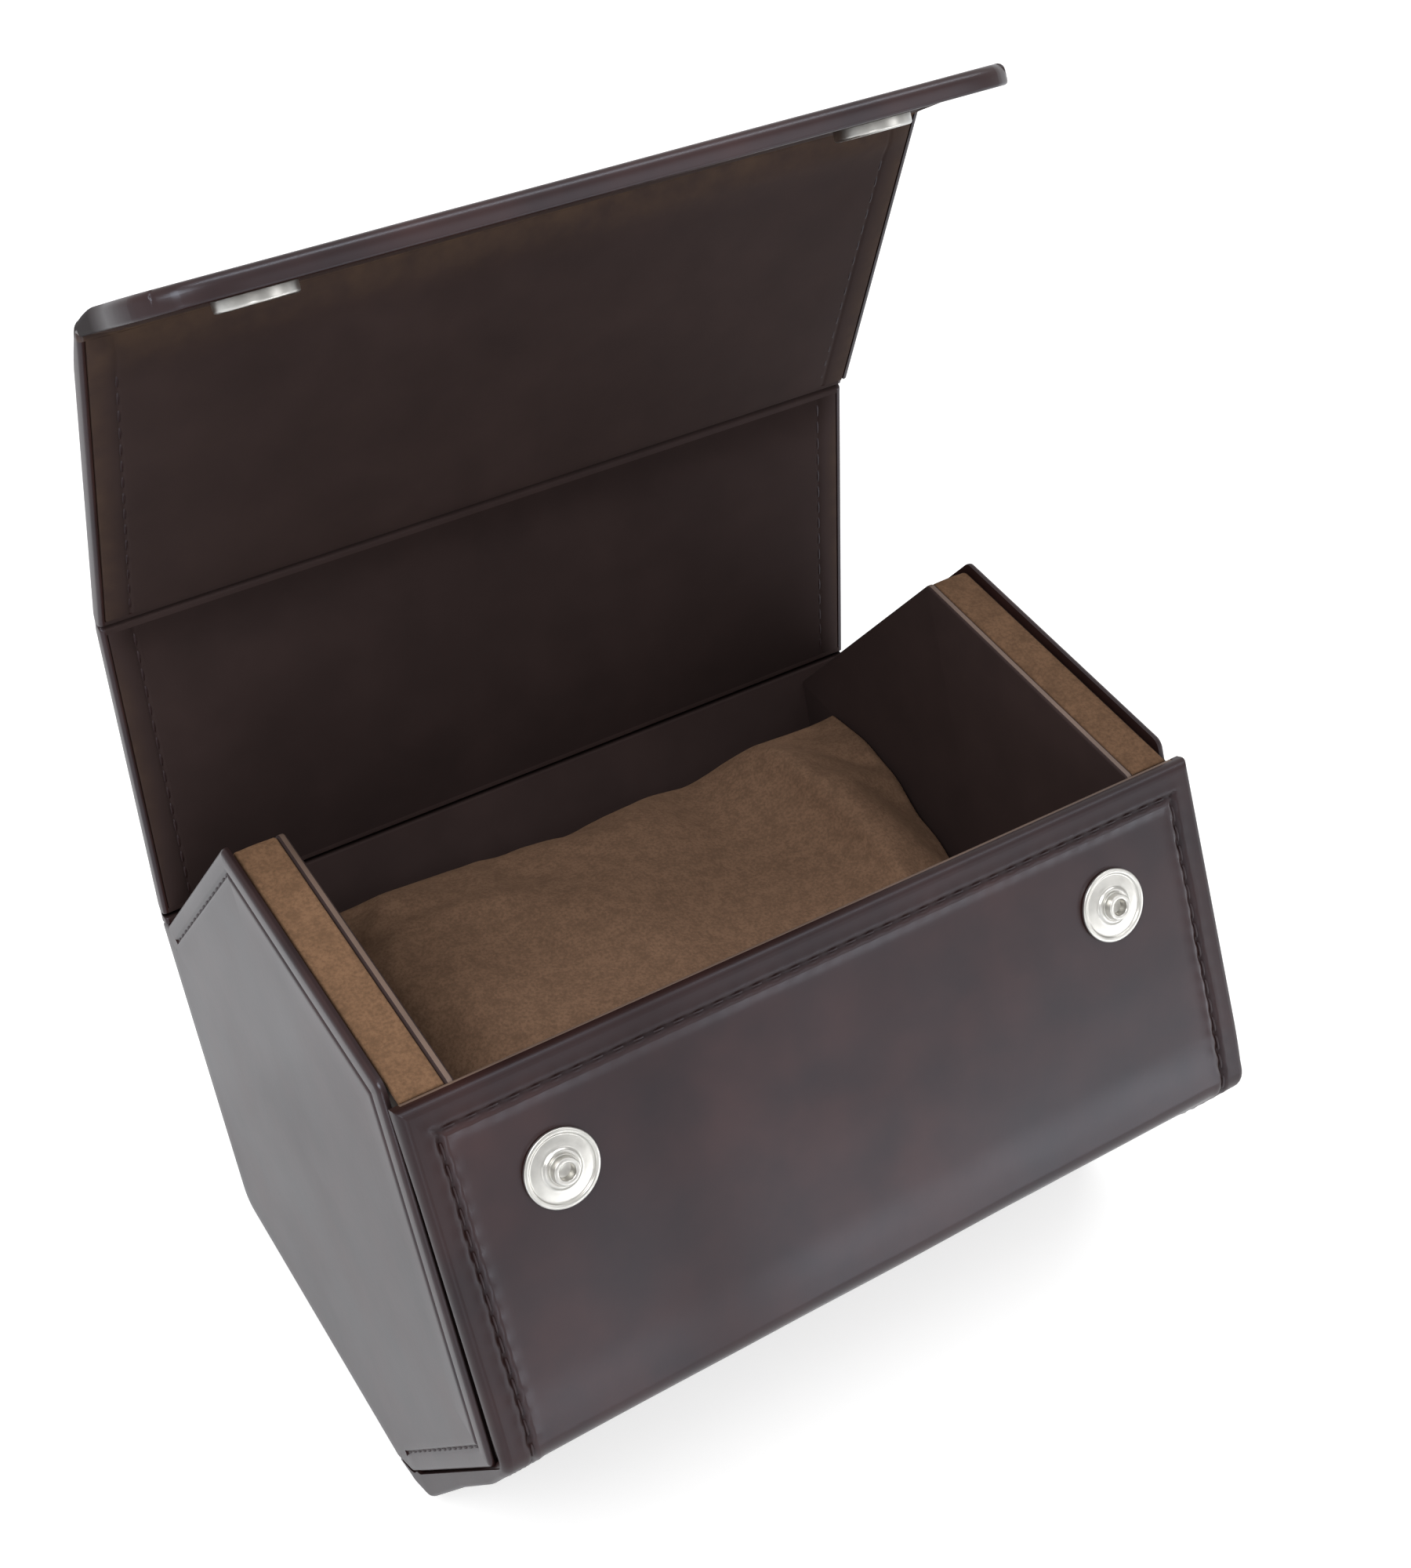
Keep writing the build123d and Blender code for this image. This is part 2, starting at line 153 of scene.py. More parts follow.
# --- materials ---
class Nodes:
    """A material's node tree, with short ways to add and join nodes."""

    def __init__(self, name, world=None):
        self.material = world or bpy.data.materials.new(name)
        self.material.use_nodes = True
        self.tree = self.material.node_tree
        self.tree.nodes.clear()
        self.out = self.add("OutputWorld" if world else "OutputMaterial")
        self.where = self.add("TexCoord").outputs["Object"]

    def put(self, value, target):
        """Give an input a constant or another node's output."""
        if isinstance(value, bpy.types.NodeSocket):
            self.tree.links.new(value, target)
        else:
            target.default_value = (*value, 1) if target.type == "RGBA" and len(value) == 3 else value

    def add(self, kind, **values):
        """A node, with its properties and inputs by name."""
        node = self.tree.nodes.new("ShaderNode" + kind)
        for key, value in values.items():
            if hasattr(node, key):
                setattr(node, key, value)
            else:
                self.put(value, node.inputs[key])
        return node

    def noise(self, size, detail=3.0, roughness=0.5):
        """Fractal noise with features of about size mm, from 0 to 1."""
        place = self.add("Mapping", Vector=self.where, Scale=[1 / (size * MM)] * 3)
        values = {"Scale": 1.0, "Detail": detail, "Roughness": roughness}
        return self.add("TexNoise", Vector=place.outputs["Vector"], **values).outputs["Fac"]

    def spread(self, value, low, high, start=0.3, end=0.7):
        """value from start..end onto low..high, clamped."""
        ends = {"From Min": start, "From Max": end, "To Min": low, "To Max": high}
        return self.add("MapRange", Value=value, **ends).outputs["Result"]

    def mix(self, colour, other, factor):
        """colour towards the other by a factor."""
        node = self.add("Mix", data_type="RGBA")
        for i, value in ((0, factor), (6, colour), (7, other)):
            self.put(value, node.inputs[i])
        return node.outputs[2]

    def tones(self, value, low, high, start=0.3, end=0.7):
        """Colour between two tones by a value."""
        return self.mix(low, high, self.spread(value, 0, 1, start, end))

    def sum(self, a, b, operation="ADD"):
        node = self.add("Math", operation=operation)
        for value, target in zip((a, b), node.inputs):
            self.put(value, target)
        return node.outputs[0]

    def bump(self, height, distance, strength=1.0, **below):
        node = self.add("Bump", Height=height, Strength=strength, Distance=distance * MM, **below)
        return node.outputs["Normal"]

    def principled(self, colour, rough, normal, **values):
        values.update({"Base Color": colour, "Roughness": rough, "Normal": normal})
        shader = self.add("BsdfPrincipled", **values)
        self.put(shader.outputs["BSDF"], self.out.inputs["Surface"])
        return self.material


def tone(colour, factor):
    return tuple(c * factor for c in colour)


WORN = (0.115, 0.07, 0.043)         # leather rubbed down to the brown under its finish
COOL = (0.76, 0.86, 1.0)            # tint of its reflections


def leather(name, colour, rough, grain=0.012, spread=0.16, level=0.5):
    """Finished leather: two close tones, fine pores, and a gloss that varies.

    A mesh may carry a point attribute "tone": above 0 the leather shows wear and is lighter,
    below 0 it is darker and duller, mostly painted shade.
    """
    n = Nodes(name)
    blend = n.sum(n.noise(32.0, 4.0, 0.5), n.noise(9.0, 3.0, 0.5), "MULTIPLY")
    colours = n.tones(blend, tone(colour, 1 - 2 * spread), tone(colour, 1 + 2 * spread), 0.0, 0.5)
    mark = n.add("Attribute", attribute_name="tone").outputs["Fac"]
    patchy = n.sum(n.spread(mark, 0, 1, 0, 1), n.spread(n.noise(3.0, 3.0), 0.35, 1.0), "MULTIPLY")
    colours = n.mix(colours, WORN, patchy)
    colours = n.mix(colours, tone(colour, 0.12), n.spread(mark, 1, 0, -1, 0))
    fine = n.bump(n.sum(n.noise(0.5, 3.0, 0.6), n.noise(1.6, 2.0, 0.5)), grain)
    broad = n.bump(n.noise(20.0, 2.0, 0.4), 0.1, 0.3, Normal=fine)
    gloss = n.spread(n.noise(16.0, 2.0), rough[0], rough[1], 0.15, 0.85)
    gloss = n.sum(gloss, n.spread(mark, 0, 0.45, 0, -1))
    shine = {"Specular IOR Level": n.spread(mark, level, 0.1 * level, 0, -1), "Specular Tint": COOL}
    return n.principled(colours, gloss, broad, IOR=1.5, **shine)


def suede(name, colour, mottle=0.2):
    """Napped leather: soft brush-mark patches and a short velvet sheen."""
    n = Nodes(name)
    patches = n.sum(n.noise(2.2, 4.0, 0.7), n.noise(0.45, 2.0, 0.6), "MULTIPLY")
    colours = n.tones(patches, tone(colour, 1 - mottle), tone(colour, 1 + mottle), 0.15, 0.35)
    nap = n.bump(n.noise(0.22, 3.0, 0.7), 0.05, 0.7)
    soft = n.bump(n.noise(2.4, 3.0, 0.6), 0.12, 0.5, Normal=nap)
    sheen = {"Sheen Weight": 0.25, "Sheen Roughness": 0.45, "Sheen Tint": tone(colour, 2.2)}
    return n.principled(colours, 0.95, soft, **sheen, **{"Specular IOR Level": 0.15})


def metal(name, colour, rough):
    """Cast or rolled metal with faint brushing."""
    n = Nodes(name)
    colours = n.tones(n.noise(1.8, 3.0), tone(colour, 0.9), tone(colour, 1.06))
    marks = n.bump(n.noise(1.2, 2.0), 0.0015, 0.4)
    gloss = n.spread(n.noise(0.8, 2.0), rough[0], rough[1])
    return n.principled(colours, gloss, marks, Metallic=1.0)


def matt(name, colour, size=1.2, height=0.06, spread=0.18):
    """Pulp board, fibre or foam: matt, speckled and slightly rough."""
    n = Nodes(name)
    colours = n.tones(n.noise(size, 4.0, 0.7), tone(colour, 1 - spread), tone(colour, 1 + spread))
    return n.principled(colours, 0.9, n.bump(n.noise(size / 2, 3.0, 0.7), height))


MATERIALS = {}          # by the name that meshes use


def make_materials():
    outer = (0.030, 0.0120, 0.0100)
    inner = (0.040, 0.0250, 0.0228)
    MATERIALS.update({
        "outer": leather("outer_leather", outer, (0.28, 0.34), 0.006, 0.3),
        "lining": leather("lining_leather", inner, (0.68, 0.78), 0.01, 0.12, 0.16),
        # The lining's rolled edges are a lighter brown: a painted sheen.
        "rolled": leather("lining_edge_painted_sheen", (0.14, 0.092, 0.068), (0.5, 0.6), 0.02),
        "thread": leather("thread", tone(outer, 0.8), (0.45, 0.55)),
        "suede": suede("suede", (0.172, 0.097, 0.055)),
        # A darker copy of the suede for the right rim: painted shade.
        "brushed": suede("suede_painted_shade", (0.118, 0.066, 0.038)),
        "pillow": suede("pillow_suede", (0.160, 0.094, 0.059)),
        "metal": metal("snap_metal", (0.63, 0.62, 0.59), (0.285, 0.36)),
        "steel": metal("washer_steel", (0.42, 0.42, 0.43), (0.35, 0.5)),
        "magnet": metal("magnet", (0.22, 0.22, 0.24), (0.4, 0.55)),
        "board": matt("greyboard", (0.30, 0.28, 0.25)),
        # The core's own dark brown, darkened further as painted shade where it shows in the gap beside the
        # end leather.
        "block": matt("block_core", (0.016, 0.011, 0.009), 2.5, 0.1, 0.25),
    })


# --- meshes ---
def mesh_object(name, points, faces, *looks, indices=None, sharp=40.0):
    """A mesh object from millimetre points, smooth except across edges of more than sharp degrees.

    Its materials are by name, and indices choose one for each face.
    """
    mesh = bpy.data.meshes.new(name)
    mesh.from_pydata((np.asarray(points, float) * MM).tolist(), [], [list(f) for f in faces])
    for look in looks:
        mesh.materials.append(MATERIALS[look])
    if indices is not None:
        mesh.polygons.foreach_set("material_index", np.asarray(indices, np.int32))
    work = bmesh.new()
    work.from_mesh(mesh)
    bmesh.ops.recalc_face_normals(work, faces=work.faces)
    work.to_mesh(mesh)
    work.free()
    mesh.shade_smooth()
    mesh.set_sharp_from_angle(angle=math.radians(sharp))
    mesh.update()
    piece = bpy.data.objects.new(name, mesh)
    link(piece)
    return piece


def set_tone(piece, values):
    """Wear (above 0) or darkening (below 0) of each point, for the leather materials."""
    layer = piece.data.attributes.new("tone", "FLOAT", "POINT")
    layer.data.foreach_set("value", np.asarray(values, np.float32))


def link(thing):
    bpy.context.scene.collection.objects.link(thing)


def both_sheets(values):
    """The same values for the outer and the inner sheet of a slab."""
    return np.tile(np.ravel(values), 2)


def joined(parts):
    """Several (points, faces) as one."""
    points, faces, base = [], [], 0
    for p, f in parts:
        points.append(p)
        faces += [[i + base for i in face] for face in f]
        base += len(p)
    return np.vstack(points), faces


def at_x(x, loop):
    """Points of a (Y, Z) loop at X."""
    return np.column_stack([np.broadcast_to(x, len(loop)), loop])


def slab(x, outer, inner):
    """Closed mesh between two sheets over one grid: x is (s, u), and a sheet is (s, u, 2) in (Y, Z)."""
    ns, nu = x.shape
    base = ns * nu
    index = np.arange(base).reshape(ns, nu)
    faces = []
    for i in range(ns - 1):
        for a in range(i * nu, i * nu + nu - 1):
            b, c, d = a + 1, a + 1 + nu, a + nu
            faces += [(a, b, c, d), (base + d, base + c, base + b, base + a)]
    rim = np.concatenate([index[0], index[1:, -1], index[-1, -2::-1], index[-2:0:-1, 0]]).tolist()
    faces += [(b, a, base + a, base + b) for a, b in zip(rim, rim[1:] + rim[:1])]
    return np.vstack([np.dstack([x, sheet]).reshape(-1, 3) for sheet in (outer, inner)]), faces


def tube(rings, sides, closed=False):
    """Faces over rings with that many points each, and from the last ring to the first if closed."""
    faces = []
    for i in range(rings if closed else rings - 1):
        a, b = i * sides, (i + 1) % rings * sides
        for k in range(sides):
            m = (k + 1) % sides
            faces.append((a + k, a + m, b + m, b + k))
    return faces


class Line:
    """A line in (Y, Z) through corners with rounded bends. Heights are to the right of travel."""

    def __init__(self, corners, radii):
        self.runs, self.bends, at, start = [], [], 0.0, corners[0]
        for i in range(1, len(corners)):
            d = unit(corners[i] - corners[i - 1])
            last = i == len(corners) - 1
            e = d if last else unit(corners[i + 1] - corners[i])
            turn, radius = turn_from(d, e), radii[i]
            cut = radius * math.tan(abs(turn) / 2)
            end = corners[i] - d * cut
            length = np.linalg.norm(end - start)
            self.runs.append((at, at + length, start, d, None, turn))
            at += length
            if not last:
                arc = max(radius * abs(turn), 1e-6)
                centre = end - right_of(d) * math.copysign(radius, turn)
                self.runs.append((at, at + arc, end, d, centre, turn))
                self.bends.append((at, at + arc, abs(turn)))
                at += arc
                start = corners[i] + e * cut
        self.length = at

    def at(self, s, height):
        """Points at arc lengths s, a height to the right of the line."""
        s, height = np.broadcast_arrays(np.asarray(s, float), np.asarray(height, float))
        out = np.zeros(s.shape + (2,))
        for i, (s0, s1, start, d, centre, turn) in enumerate(self.runs):
            mine = ((s > s0) | (i == 0)) & ((s <= s1) | (i == len(self.runs) - 1))
            past, high = (s[mine] - s0)[:, None], height[mine][:, None] * right_of(d)
            if centre is None:
                out[mine] = start + past * d + high
            else:
                a, spoke = turn * past / (s1 - s0), start - centre + high
                out[mine] = centre + np.cos(a) * spoke + np.sin(a) * spoke[:, ::-1] * (-1, 1)
        return out


def round_steps(radius, count=6):
    """Distances from an edge at which a quarter round of that radius is sampled."""
    return [radius * (1 - math.cos(a)) for a in np.linspace(0, math.pi / 2, count)]


CLOSEST = 0.015         # between two lines of a grid
BEND_STEP = 9           # degrees of a bend between two lines


def positions(length, start=(), end=(), inside=(), bends=(), step=4.0):
    """Sorted places from 0 to length: distances from either end, inner ones, bends and even fill."""
    places = {0.0, length, *start, *[length - d for d in end], *inside}
    for s0, s1, turn in bends:
        places.update(np.linspace(s0, s1, max(3, int(math.degrees(turn) / BEND_STEP) + 1)))
    first, *rest = sorted(p for p in places if -1e-9 <= p <= length + 1e-9)
    kept = [first]
    for p in rest:
        base, gap = kept[-1], p - kept[-1]
        if gap > CLOSEST:
            n = int(gap // step) + 1
            kept += [base + gap * k / n for k in range(1, n)] + [p]
    return np.array(kept)


def grid(s, u):
    """Places along, across and from the nearer side, over lines at s and u."""
    S, U = np.meshgrid(s, u, indexing="ij")
    return S, U, np.minimum(U, u[-1] - U)


def groove_steps(where, width):
    return [where + width * k for k in (-2.2, -1.4, -0.9, -0.45, 0, 0.45, 0.9, 1.4, 2.2)]


def within(value):
    """value, held between 0 and 1."""
    return np.clip(value, 0, 1)


def hump(value, middle, width):
    """A smooth rise to 1 about a middle."""
    return np.exp(-(((value - middle) / width) ** 2))


def groove(distance, where, width, depth):
    """Depth of a pressed line, with the leather swelling a little on either side of it."""
    t = (distance - where) / width
    return depth * hump(t, 0, 1) - 0.24 * depth * hump(np.abs(t), 2, 1)


def rounding(distance, radius, drop=None):
    """Drop of a quarter-round edge at a distance from it, over a radius and down to drop."""
    t = within(1 - distance / radius)
    return (radius if drop is None else drop) * (1 - np.sqrt(within(1 - t * t)))


def waves(x, flat, *layers):
    """Unevenness of leather over points at x and flat (Y, Z). A layer is (size, seed, height)."""
    total = np.zeros(np.shape(x))
    for size, seed, height in layers:
        spots = np.stack([x / size + seed, flat[..., 0] / size, flat[..., 1] / size], -1)
        values = [0.5 + 0.5 * noise.noise(Vector(spot)) for spot in spots.reshape(-1, 3)]
        total += height * np.reshape(values, total.shape)
    return total


# --- stitches ---
PITCH = 2.8             # of the stitches
SECTIONS = ((-0.5, 0.25), (-0.44, 0.8), (-0.25, 1.0), (0, 1.0), (0.25, 1.0), (0.44, 0.8), (0.5, 0.25))


def pucker(run):
    """How much deeper the thread pulls a groove at each stitch, along its run."""
    return 0.75 + 0.35 * np.cos(2 * np.pi * run / PITCH)


def sway(run):
    """How far the groove's edge is drawn aside between stitches, along its run."""
    return 0.1 * np.sin(2 * np.pi * run / PITCH) + 0.08 * np.sin(2 * np.pi * run / (5.3 * PITCH))


def pulled(length):
    """Lines along a stitched run, four to a stitch."""
    return np.arange(PITCH / 4, length, PITCH / 4)


def stitch_run(start, end):
    """Even places between two distances."""
    count = max(1, round((end - start) / PITCH))
    return [start + (end - start) * (k + 0.5) / count for k in range(count)]


def capsules(places, length=2.3, thick=0.42, sides=6):
    """Stitches: bent capsules at (centre, direction, normal), sunk a little at both ends.

    SECTIONS has a place along a stitch, as a share of its length, and its thickness there.
    """
    parts = []
    for centre, direction, normal in places:
        direction, normal = unit(direction), unit(normal)
        side = np.cross(direction, normal)
        rings = []
        for t, r in SECTIONS:
            middle = np.asarray(centre) + direction * t * length - normal * (1.6 * t * t * thick)
            for k in range(sides):
                a = 2 * math.pi * k / sides
                rings.append(middle + (side * math.cos(a) + normal * 0.75 * math.sin(a)) * r * thick / 2)
        ends = [tuple(range(sides))[::-1], tuple(range(len(rings) - sides, len(rings)))]
        parts.append((np.array(rings), tube(len(SECTIONS), sides) + ends))
    return joined(parts)


# --- fixed wrap ---
BORDER = 4.0            # stitch line from the edges of the front walls
PRESSED = 0.42          # width of its groove
SIDE_EDGE, TOP_EDGE = 1.2, 1.3      # rounding of the leather at the sides and the top
LAP = 3.0               # from the nose to where the end leather laps over the base
TOP_LINING = 0.95       # lining that shows along the front wall's top edge
STEP = (TURN - 0.01, TURN + 0.01)   # lines on both sides of where the boards' pocket starts
OVER_BOARD = 0.08       # least leather over a board


def wrap_line():
    end = WALL_END - outward(BACK_) * (WALL / 2)
    return Line([CORE[F_], CORE[E_], CORE[D_], CORE[C_], end], [0, FOLD_INSIDE, NOSE_INSIDE, FOLD_INSIDE, 0])


def nose_drop(line, s):
    """How far the leather is drawn in at the nose, where the bend has no board under it."""
    start, end, _ = line.bends[1]
    slope = np.interp(s, (start - 32, start - 18, start, end, end + 3.5), (0.0, 0.8, 1.0, 1.0, 0.0))
    return slope + 0.5 * np.sin(np.pi * within((s - start) / (end - start))) ** 2


def make_wrap():
    line = wrap_line()
    fold, (first, last, _) = line.bends[:2]
    lap = last + LAP
    edge, roll = round_steps(SIDE_EDGE, 8), round_steps(TOP_EDGE, 8)
    marks = [*groove_steps(BORDER, PRESSED), 0.4, *STEP, 1.8]
    inside = [lap, lap + 0.25, *pulled(lap), *(fold[0] - d for d in range(1, 9))]
    s = positions(line.length, [*roll, *edge, *marks], [0.3], inside, line.bends, 3.0)
    u = positions(2 * HALF, [*edge, *marks], [*edge, *marks], pulled(2 * HALF), (), 3.0)
    S, U, side = grid(s, u)
    border = np.minimum(side, S)
    on_front = within((lap - S) / 0.5)
    fade = within((first + 1 - S) / 3)
    # Full width on the front walls, and short under the lapped end leather.
    X = (U - HALF) * (HALF - TURN * within((S - lap) / 0.25)) / HALF

    # Rounded edges and the border's groove, drawn in at each stitch.
    by_side = side < S
    drawn = border + np.where(by_side, sway(S), 0.3 * sway(U))
    pressed = groove(drawn, BORDER, PRESSED, 0.5) * fade * np.where(by_side, pucker(S), pucker(U))
    full = np.interp(S, (fold[0] - 1, fold[1] + 1), (1.5, 0.7))
    low = np.maximum(rounding(side, SIDE_EDGE, 1.0) * full, rounding(S, TOP_EDGE, 1.5)) + pressed

    # Unevenness, a bow at the fold, and the drawn-in nose. Leather stays above the boards.
    calm = within((border - 1) / 5) * on_front
    bow = 0.36 * within((S - fold[0] + 8) / 8) ** 2 * within((fold[1] + 9 - S) / 9)
    drawn_in = nose_drop(line, S)
    low = low + waves(X, line.at(S, WALL), (26, 3.1, 0.3), (9, 9.7, 0.04)) * calm + bow + drawn_in
    covers = ((S < first + 0.3) | (S > last - 0.3)) & (border > 1.15)
    low = np.where(covers, np.minimum(low, LEATHER - OVER_BOARD), low)
    outer = line.at(S, WALL - low)

    # The inner sheet: a turned band at the sides, which hides the boards' ends at the bends.
    down = (0, 12, fold[0] - 2, fold[1], first, (first + last) / 2, last, last + 3.4)
    band = np.interp(S, down, (0.3, 1.0, 1.0, 1.3, -1.7, -1.9, 0.2, 2.0))
    band -= np.maximum(band - 0.45, 0) * within((side - 0.4) / 0.6)
    depth = np.minimum(np.where(S < TURN, TOP_LINING, LINING + BOARD), WALL - drawn_in - 0.4)
    depth = np.where(side < TURN, np.where(on_front > 0, band, 0.0), depth)
    wrap = mesh_object("wrap", *slab(X, outer, line.at(S, depth)), "outer")
    # Painted shade: darker and duller from the edges to just past the stitched groove, most in the groove,
    # and a painted dark reflection across the front walls to the right of the left stud.
    shade = -0.2 * within((BORDER + 0.6 - border) / 0.8) * on_front
    shade -= 0.3 * hump(border, BORDER, 0.35) * fade + 0.15 * hump(X, -27, 9) * on_front
    set_tone(wrap, both_sheets(shade))
    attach(wrap, "root")
    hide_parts("body_leather")

    make_wall_lining(line)

    # Stitches along the top and both sides of the front walls, as deep as the groove.
    places = []

    def stitch(x, at, depth, step_x, step_s):
        a, b = line.at([at, at + 0.2], WALL - depth + 0.1)
        low, high = line.at([at, at], [WALL, WALL + 1])
        places.append(((x, *a), (step_x, *((b - a) / 0.2 * step_s)), (0, *(high - low))))

    side_depth = low[:, np.abs(u - BORDER) < 0.5].max(1)
    top_depth = low[np.abs(s - BORDER) < 0.5].max(0)
    for t in stitch_run(BORDER + 0.3, 2 * HALF - BORDER - 0.3):
        stitch(t - HALF, BORDER, np.interp(t, u, top_depth), 1, 0)
    for t in stitch_run(BORDER + 1.2, first - 1):
        for x in (-HALF + BORDER, HALF - BORDER):
            stitch(x, t, np.interp(t, s, side_depth), 0, 1)
    thread = mesh_object("wrap_stitches", *capsules(places, 2.2, 0.36), "thread")
    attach(thread, "root")


def make_wall_lining(line):
    """The lining of the fixed walls, between the end blocks; its rolled top edge is a lighter brown, a
    painted sheen.
    """
    half, soft = HALF - TURN, 0.28
    s = positions(line.length, round_steps(soft, 4), [0.2], (), line.bends, 6.0)
    u = positions(2 * half, round_steps(0.2, 3), round_steps(0.2, 3), step=6.0)
    S, U, _ = grid(s, u)
    # Thicker where it's rolled over the wall's top, a little short of the leather there.
    high = np.where(S < 1.15, TOP_LINING - 0.12, LINING - 0.02)
    shy = S + 0.06 * (S < 0.5)
    drop = rounding(S, soft) * 0.9
    points, faces = slab(U - half, line.at(shy, high - drop), line.at(shy, drop))
    middles = np.array([points[list(f)].mean(0) for f in faces])
    rolled = (middles[:, 2] > RIM - 0.7) & (middles[:, 1] < 0)
    lining = mesh_object("wall_lining", points, faces, "lining", "rolled", indices=rolled)
    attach(lining, "root")
    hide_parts("body_lining")


# --- end blocks ---
PANEL_BORDER = 2.9      # groove from the edges of the end leather
GROOVED = (0, 1, 7, 8)  # the end leather's sides with that groove, by the corner each starts at
FRONT_SIDES = (7, 8)


def bent_outline(corners, radii, samples):
    """A clockwise outline with rounded corners, as a function: its loop drawn inwards by an amount."""
    ahead = [unit(b - a) for a, b in zip(corners, np.roll(corners, -1, 0))]

    def inset(amount):
        out = []
        for i, spot in enumerate(corners):
            n, m = right_of(ahead[i - 1]), right_of(ahead[i])
            radius = max(radii[i] - amount, 0.0)
            middle = spot + (n + m) / (1 + n @ m) * (amount + radius)
            for a in np.linspace(0, turn_from(ahead[i - 1], ahead[i]), samples):
                c, s = math.cos(a), math.sin(a)
                out.append(middle - radius * np.array([c * n[0] - s * n[1], s * n[0] + c * n[1]]))
        return np.array(out)

    return inset


def filled_loop(loop, samples, per_side):
    """The loop with its straight sides divided, and each point's corner and share of its arc."""
    out, sides = [], []
    for i, parts in enumerate(per_side):
        arc = loop[i * samples:(i + 1) * samples]
        a, b = arc[-1], loop[(i + 1) * samples % len(loop)]
        out += [*arc, *(a + (b - a) * k / parts for k in range(1, parts))]
        sides += [(i, k / (samples - 1)) for k in range(samples)] + [(i, 1.0)] * (parts - 1)
    return np.array(out), np.array(sides)


def make_end_panel(end, sign):
    """The end's outer leather, with a stitched groove along the lid's and the front's sides."""
    back_end = WALL_END + along(BACK_) * 0.12
    outline = np.array([
        corner(F_, -1.8, 0.8),
        corner(A_, 0.8, 0.8),
        CORE[B_] - along(REAR_) * 1.5 + outward(REAR_) * 0.8,
        back_end - outward(BACK_) * (WALL / 2),
        back_end + outward(BACK_) * (WALL / 2),
        corner(C_, WALL, WALL),
        (-20.3, 0.0),
        (-24.9, 3.1),
        (-46.5, 38.7),
    ])
    radii = [2.0, 0.9, 0.6, 0.0, 0.8, 4.0, 1.5, 1.5, 1.0]
    per_side = [16, 16, 2, 3, 14, 16, 4, 14, 16]
    samples, edge, width = 7, 0.75, 0.3
    inset = bent_outline(outline, radii, samples)
    depths = [*round_steps(edge, 6), *groove_steps(PANEL_BORDER, width), 4.4]
    depths = sorted(set(round(d, 4) for d in depths))
    loops, sides = zip(*(filled_loop(inset(d), samples, per_side) for d in depths))
    side, share = sides[0].T
    grooved = np.isin((side - 1) % len(outline), GROOVED) * (1 - share) + np.isin(side, GROOVED) * share
    # Towards the middle the loops shrink evenly.
    middle, last = np.array([0.0, 42.0]), loops[-1]
    shrink = (0.9, 0.78, 0.64, 0.5, 0.36, 0.22, 0.1)
    loops = [*loops, *(middle + (last - middle) * k for k in shrink)]
    depths += [8.0 + 5 * k for k in range(len(shrink))]
    count, rings, base_x = len(last), [], HALF - LEATHER
    for loop, d in zip(loops, depths):
        rise = LEATHER - rounding(d, edge) - (groove(d, PANEL_BORDER, width, 0.3) * grooved if d < 6 else 0)
        wave = waves(np.full(count, 30.0 * sign), loop, (30, 5.5, 0.16), (11, 1.3, 0.02))
        rings.append(at_x(sign * (base_x + rise - wave * within((d - 0.8) / 5)), loop))
    hub = (sign * (HALF - 0.12), *middle)
    points = np.vstack([*rings, hub, at_x(sign * base_x, loops[0]), (sign * base_x, *middle)])
    n = len(rings) * count
    faces = tube(len(rings), count)
    for k in range(count):
        m = (k + 1) % count
        a, b = n - count + k, n - count + m
        faces += [(a, b, n), (n + 1 + k, n + 1 + m, m, k), (n + 1 + m, n + 1 + k, n + 1 + count)]
    panel = mesh_object(f"{end}_end_panel", points, faces, "outer")
    cut = np.where(np.isin(side, FRONT_SIDES), -1.0, -0.35)
    set_tone(panel, [*np.outer(np.array(depths) < 0.03, cut).ravel(), 0.0, *cut, -1.0])
    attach(panel, "root")
    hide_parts(f"{end}_end_leather")

    places, loop = [], inset(PANEL_BORDER)
    for i in GROOVED:
        a, b = loop[(i + 1) * samples - 1], loop[(i + 1) * samples % len(loop)]
        d = unit(b - a)
        for t in stitch_run(0.2, np.linalg.norm(b - a) - 0.2):
            places.append(((sign * (HALF - 0.3), *(a + d * t)), (0, *d), (sign, 0, 0)))
    thread = mesh_object(f"{end}_end_stitches", *capsules(places), "thread")
    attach(thread, "root")


def make_rim(end, sign):
    """Suede over an end block's rim, from the front wall over the apex to the hinge."""
    low, high = HALF - BLOCK + 1.2 + 0.05, HALF - LEATHER - 0.5
    width, soft, thick = high - low, 0.35, 0.8
    line = Line([CORE[B_] - along(REAR_) * 0.2, CORE[A_], CORE[F_] + along(TOP_) * 0.15], [0, 1.2, 0])
    s = positions(line.length, round_steps(0.3, 4), round_steps(0.3, 4), (), line.bends, 2.0)
    u = positions(width, round_steps(soft, 5), round_steps(soft, 5), step=0.8)
    S, U, side = grid(s, u)
    X = sign * (low + U)
    puff = 0.12 * (1 - (2 * U / width - 1) ** 2)
    wave = waves(X, line.at(S, 0), (5, 2.2, 0.12)) * within(side)
    drop = np.maximum(rounding(side, soft), rounding(np.minimum(S, line.length - S), 0.3)) + 0.1 - puff + wave
    # The right rim gets the darker copy of the suede, painted shade.
    look = "suede" if end == "left" else "brushed"
    rim = mesh_object(f"{end}_rim", *slab(X, line.at(S, -drop), line.at(S, -thick)), look)
    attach(rim, "root")
    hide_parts(f"{end}_rim_suede")


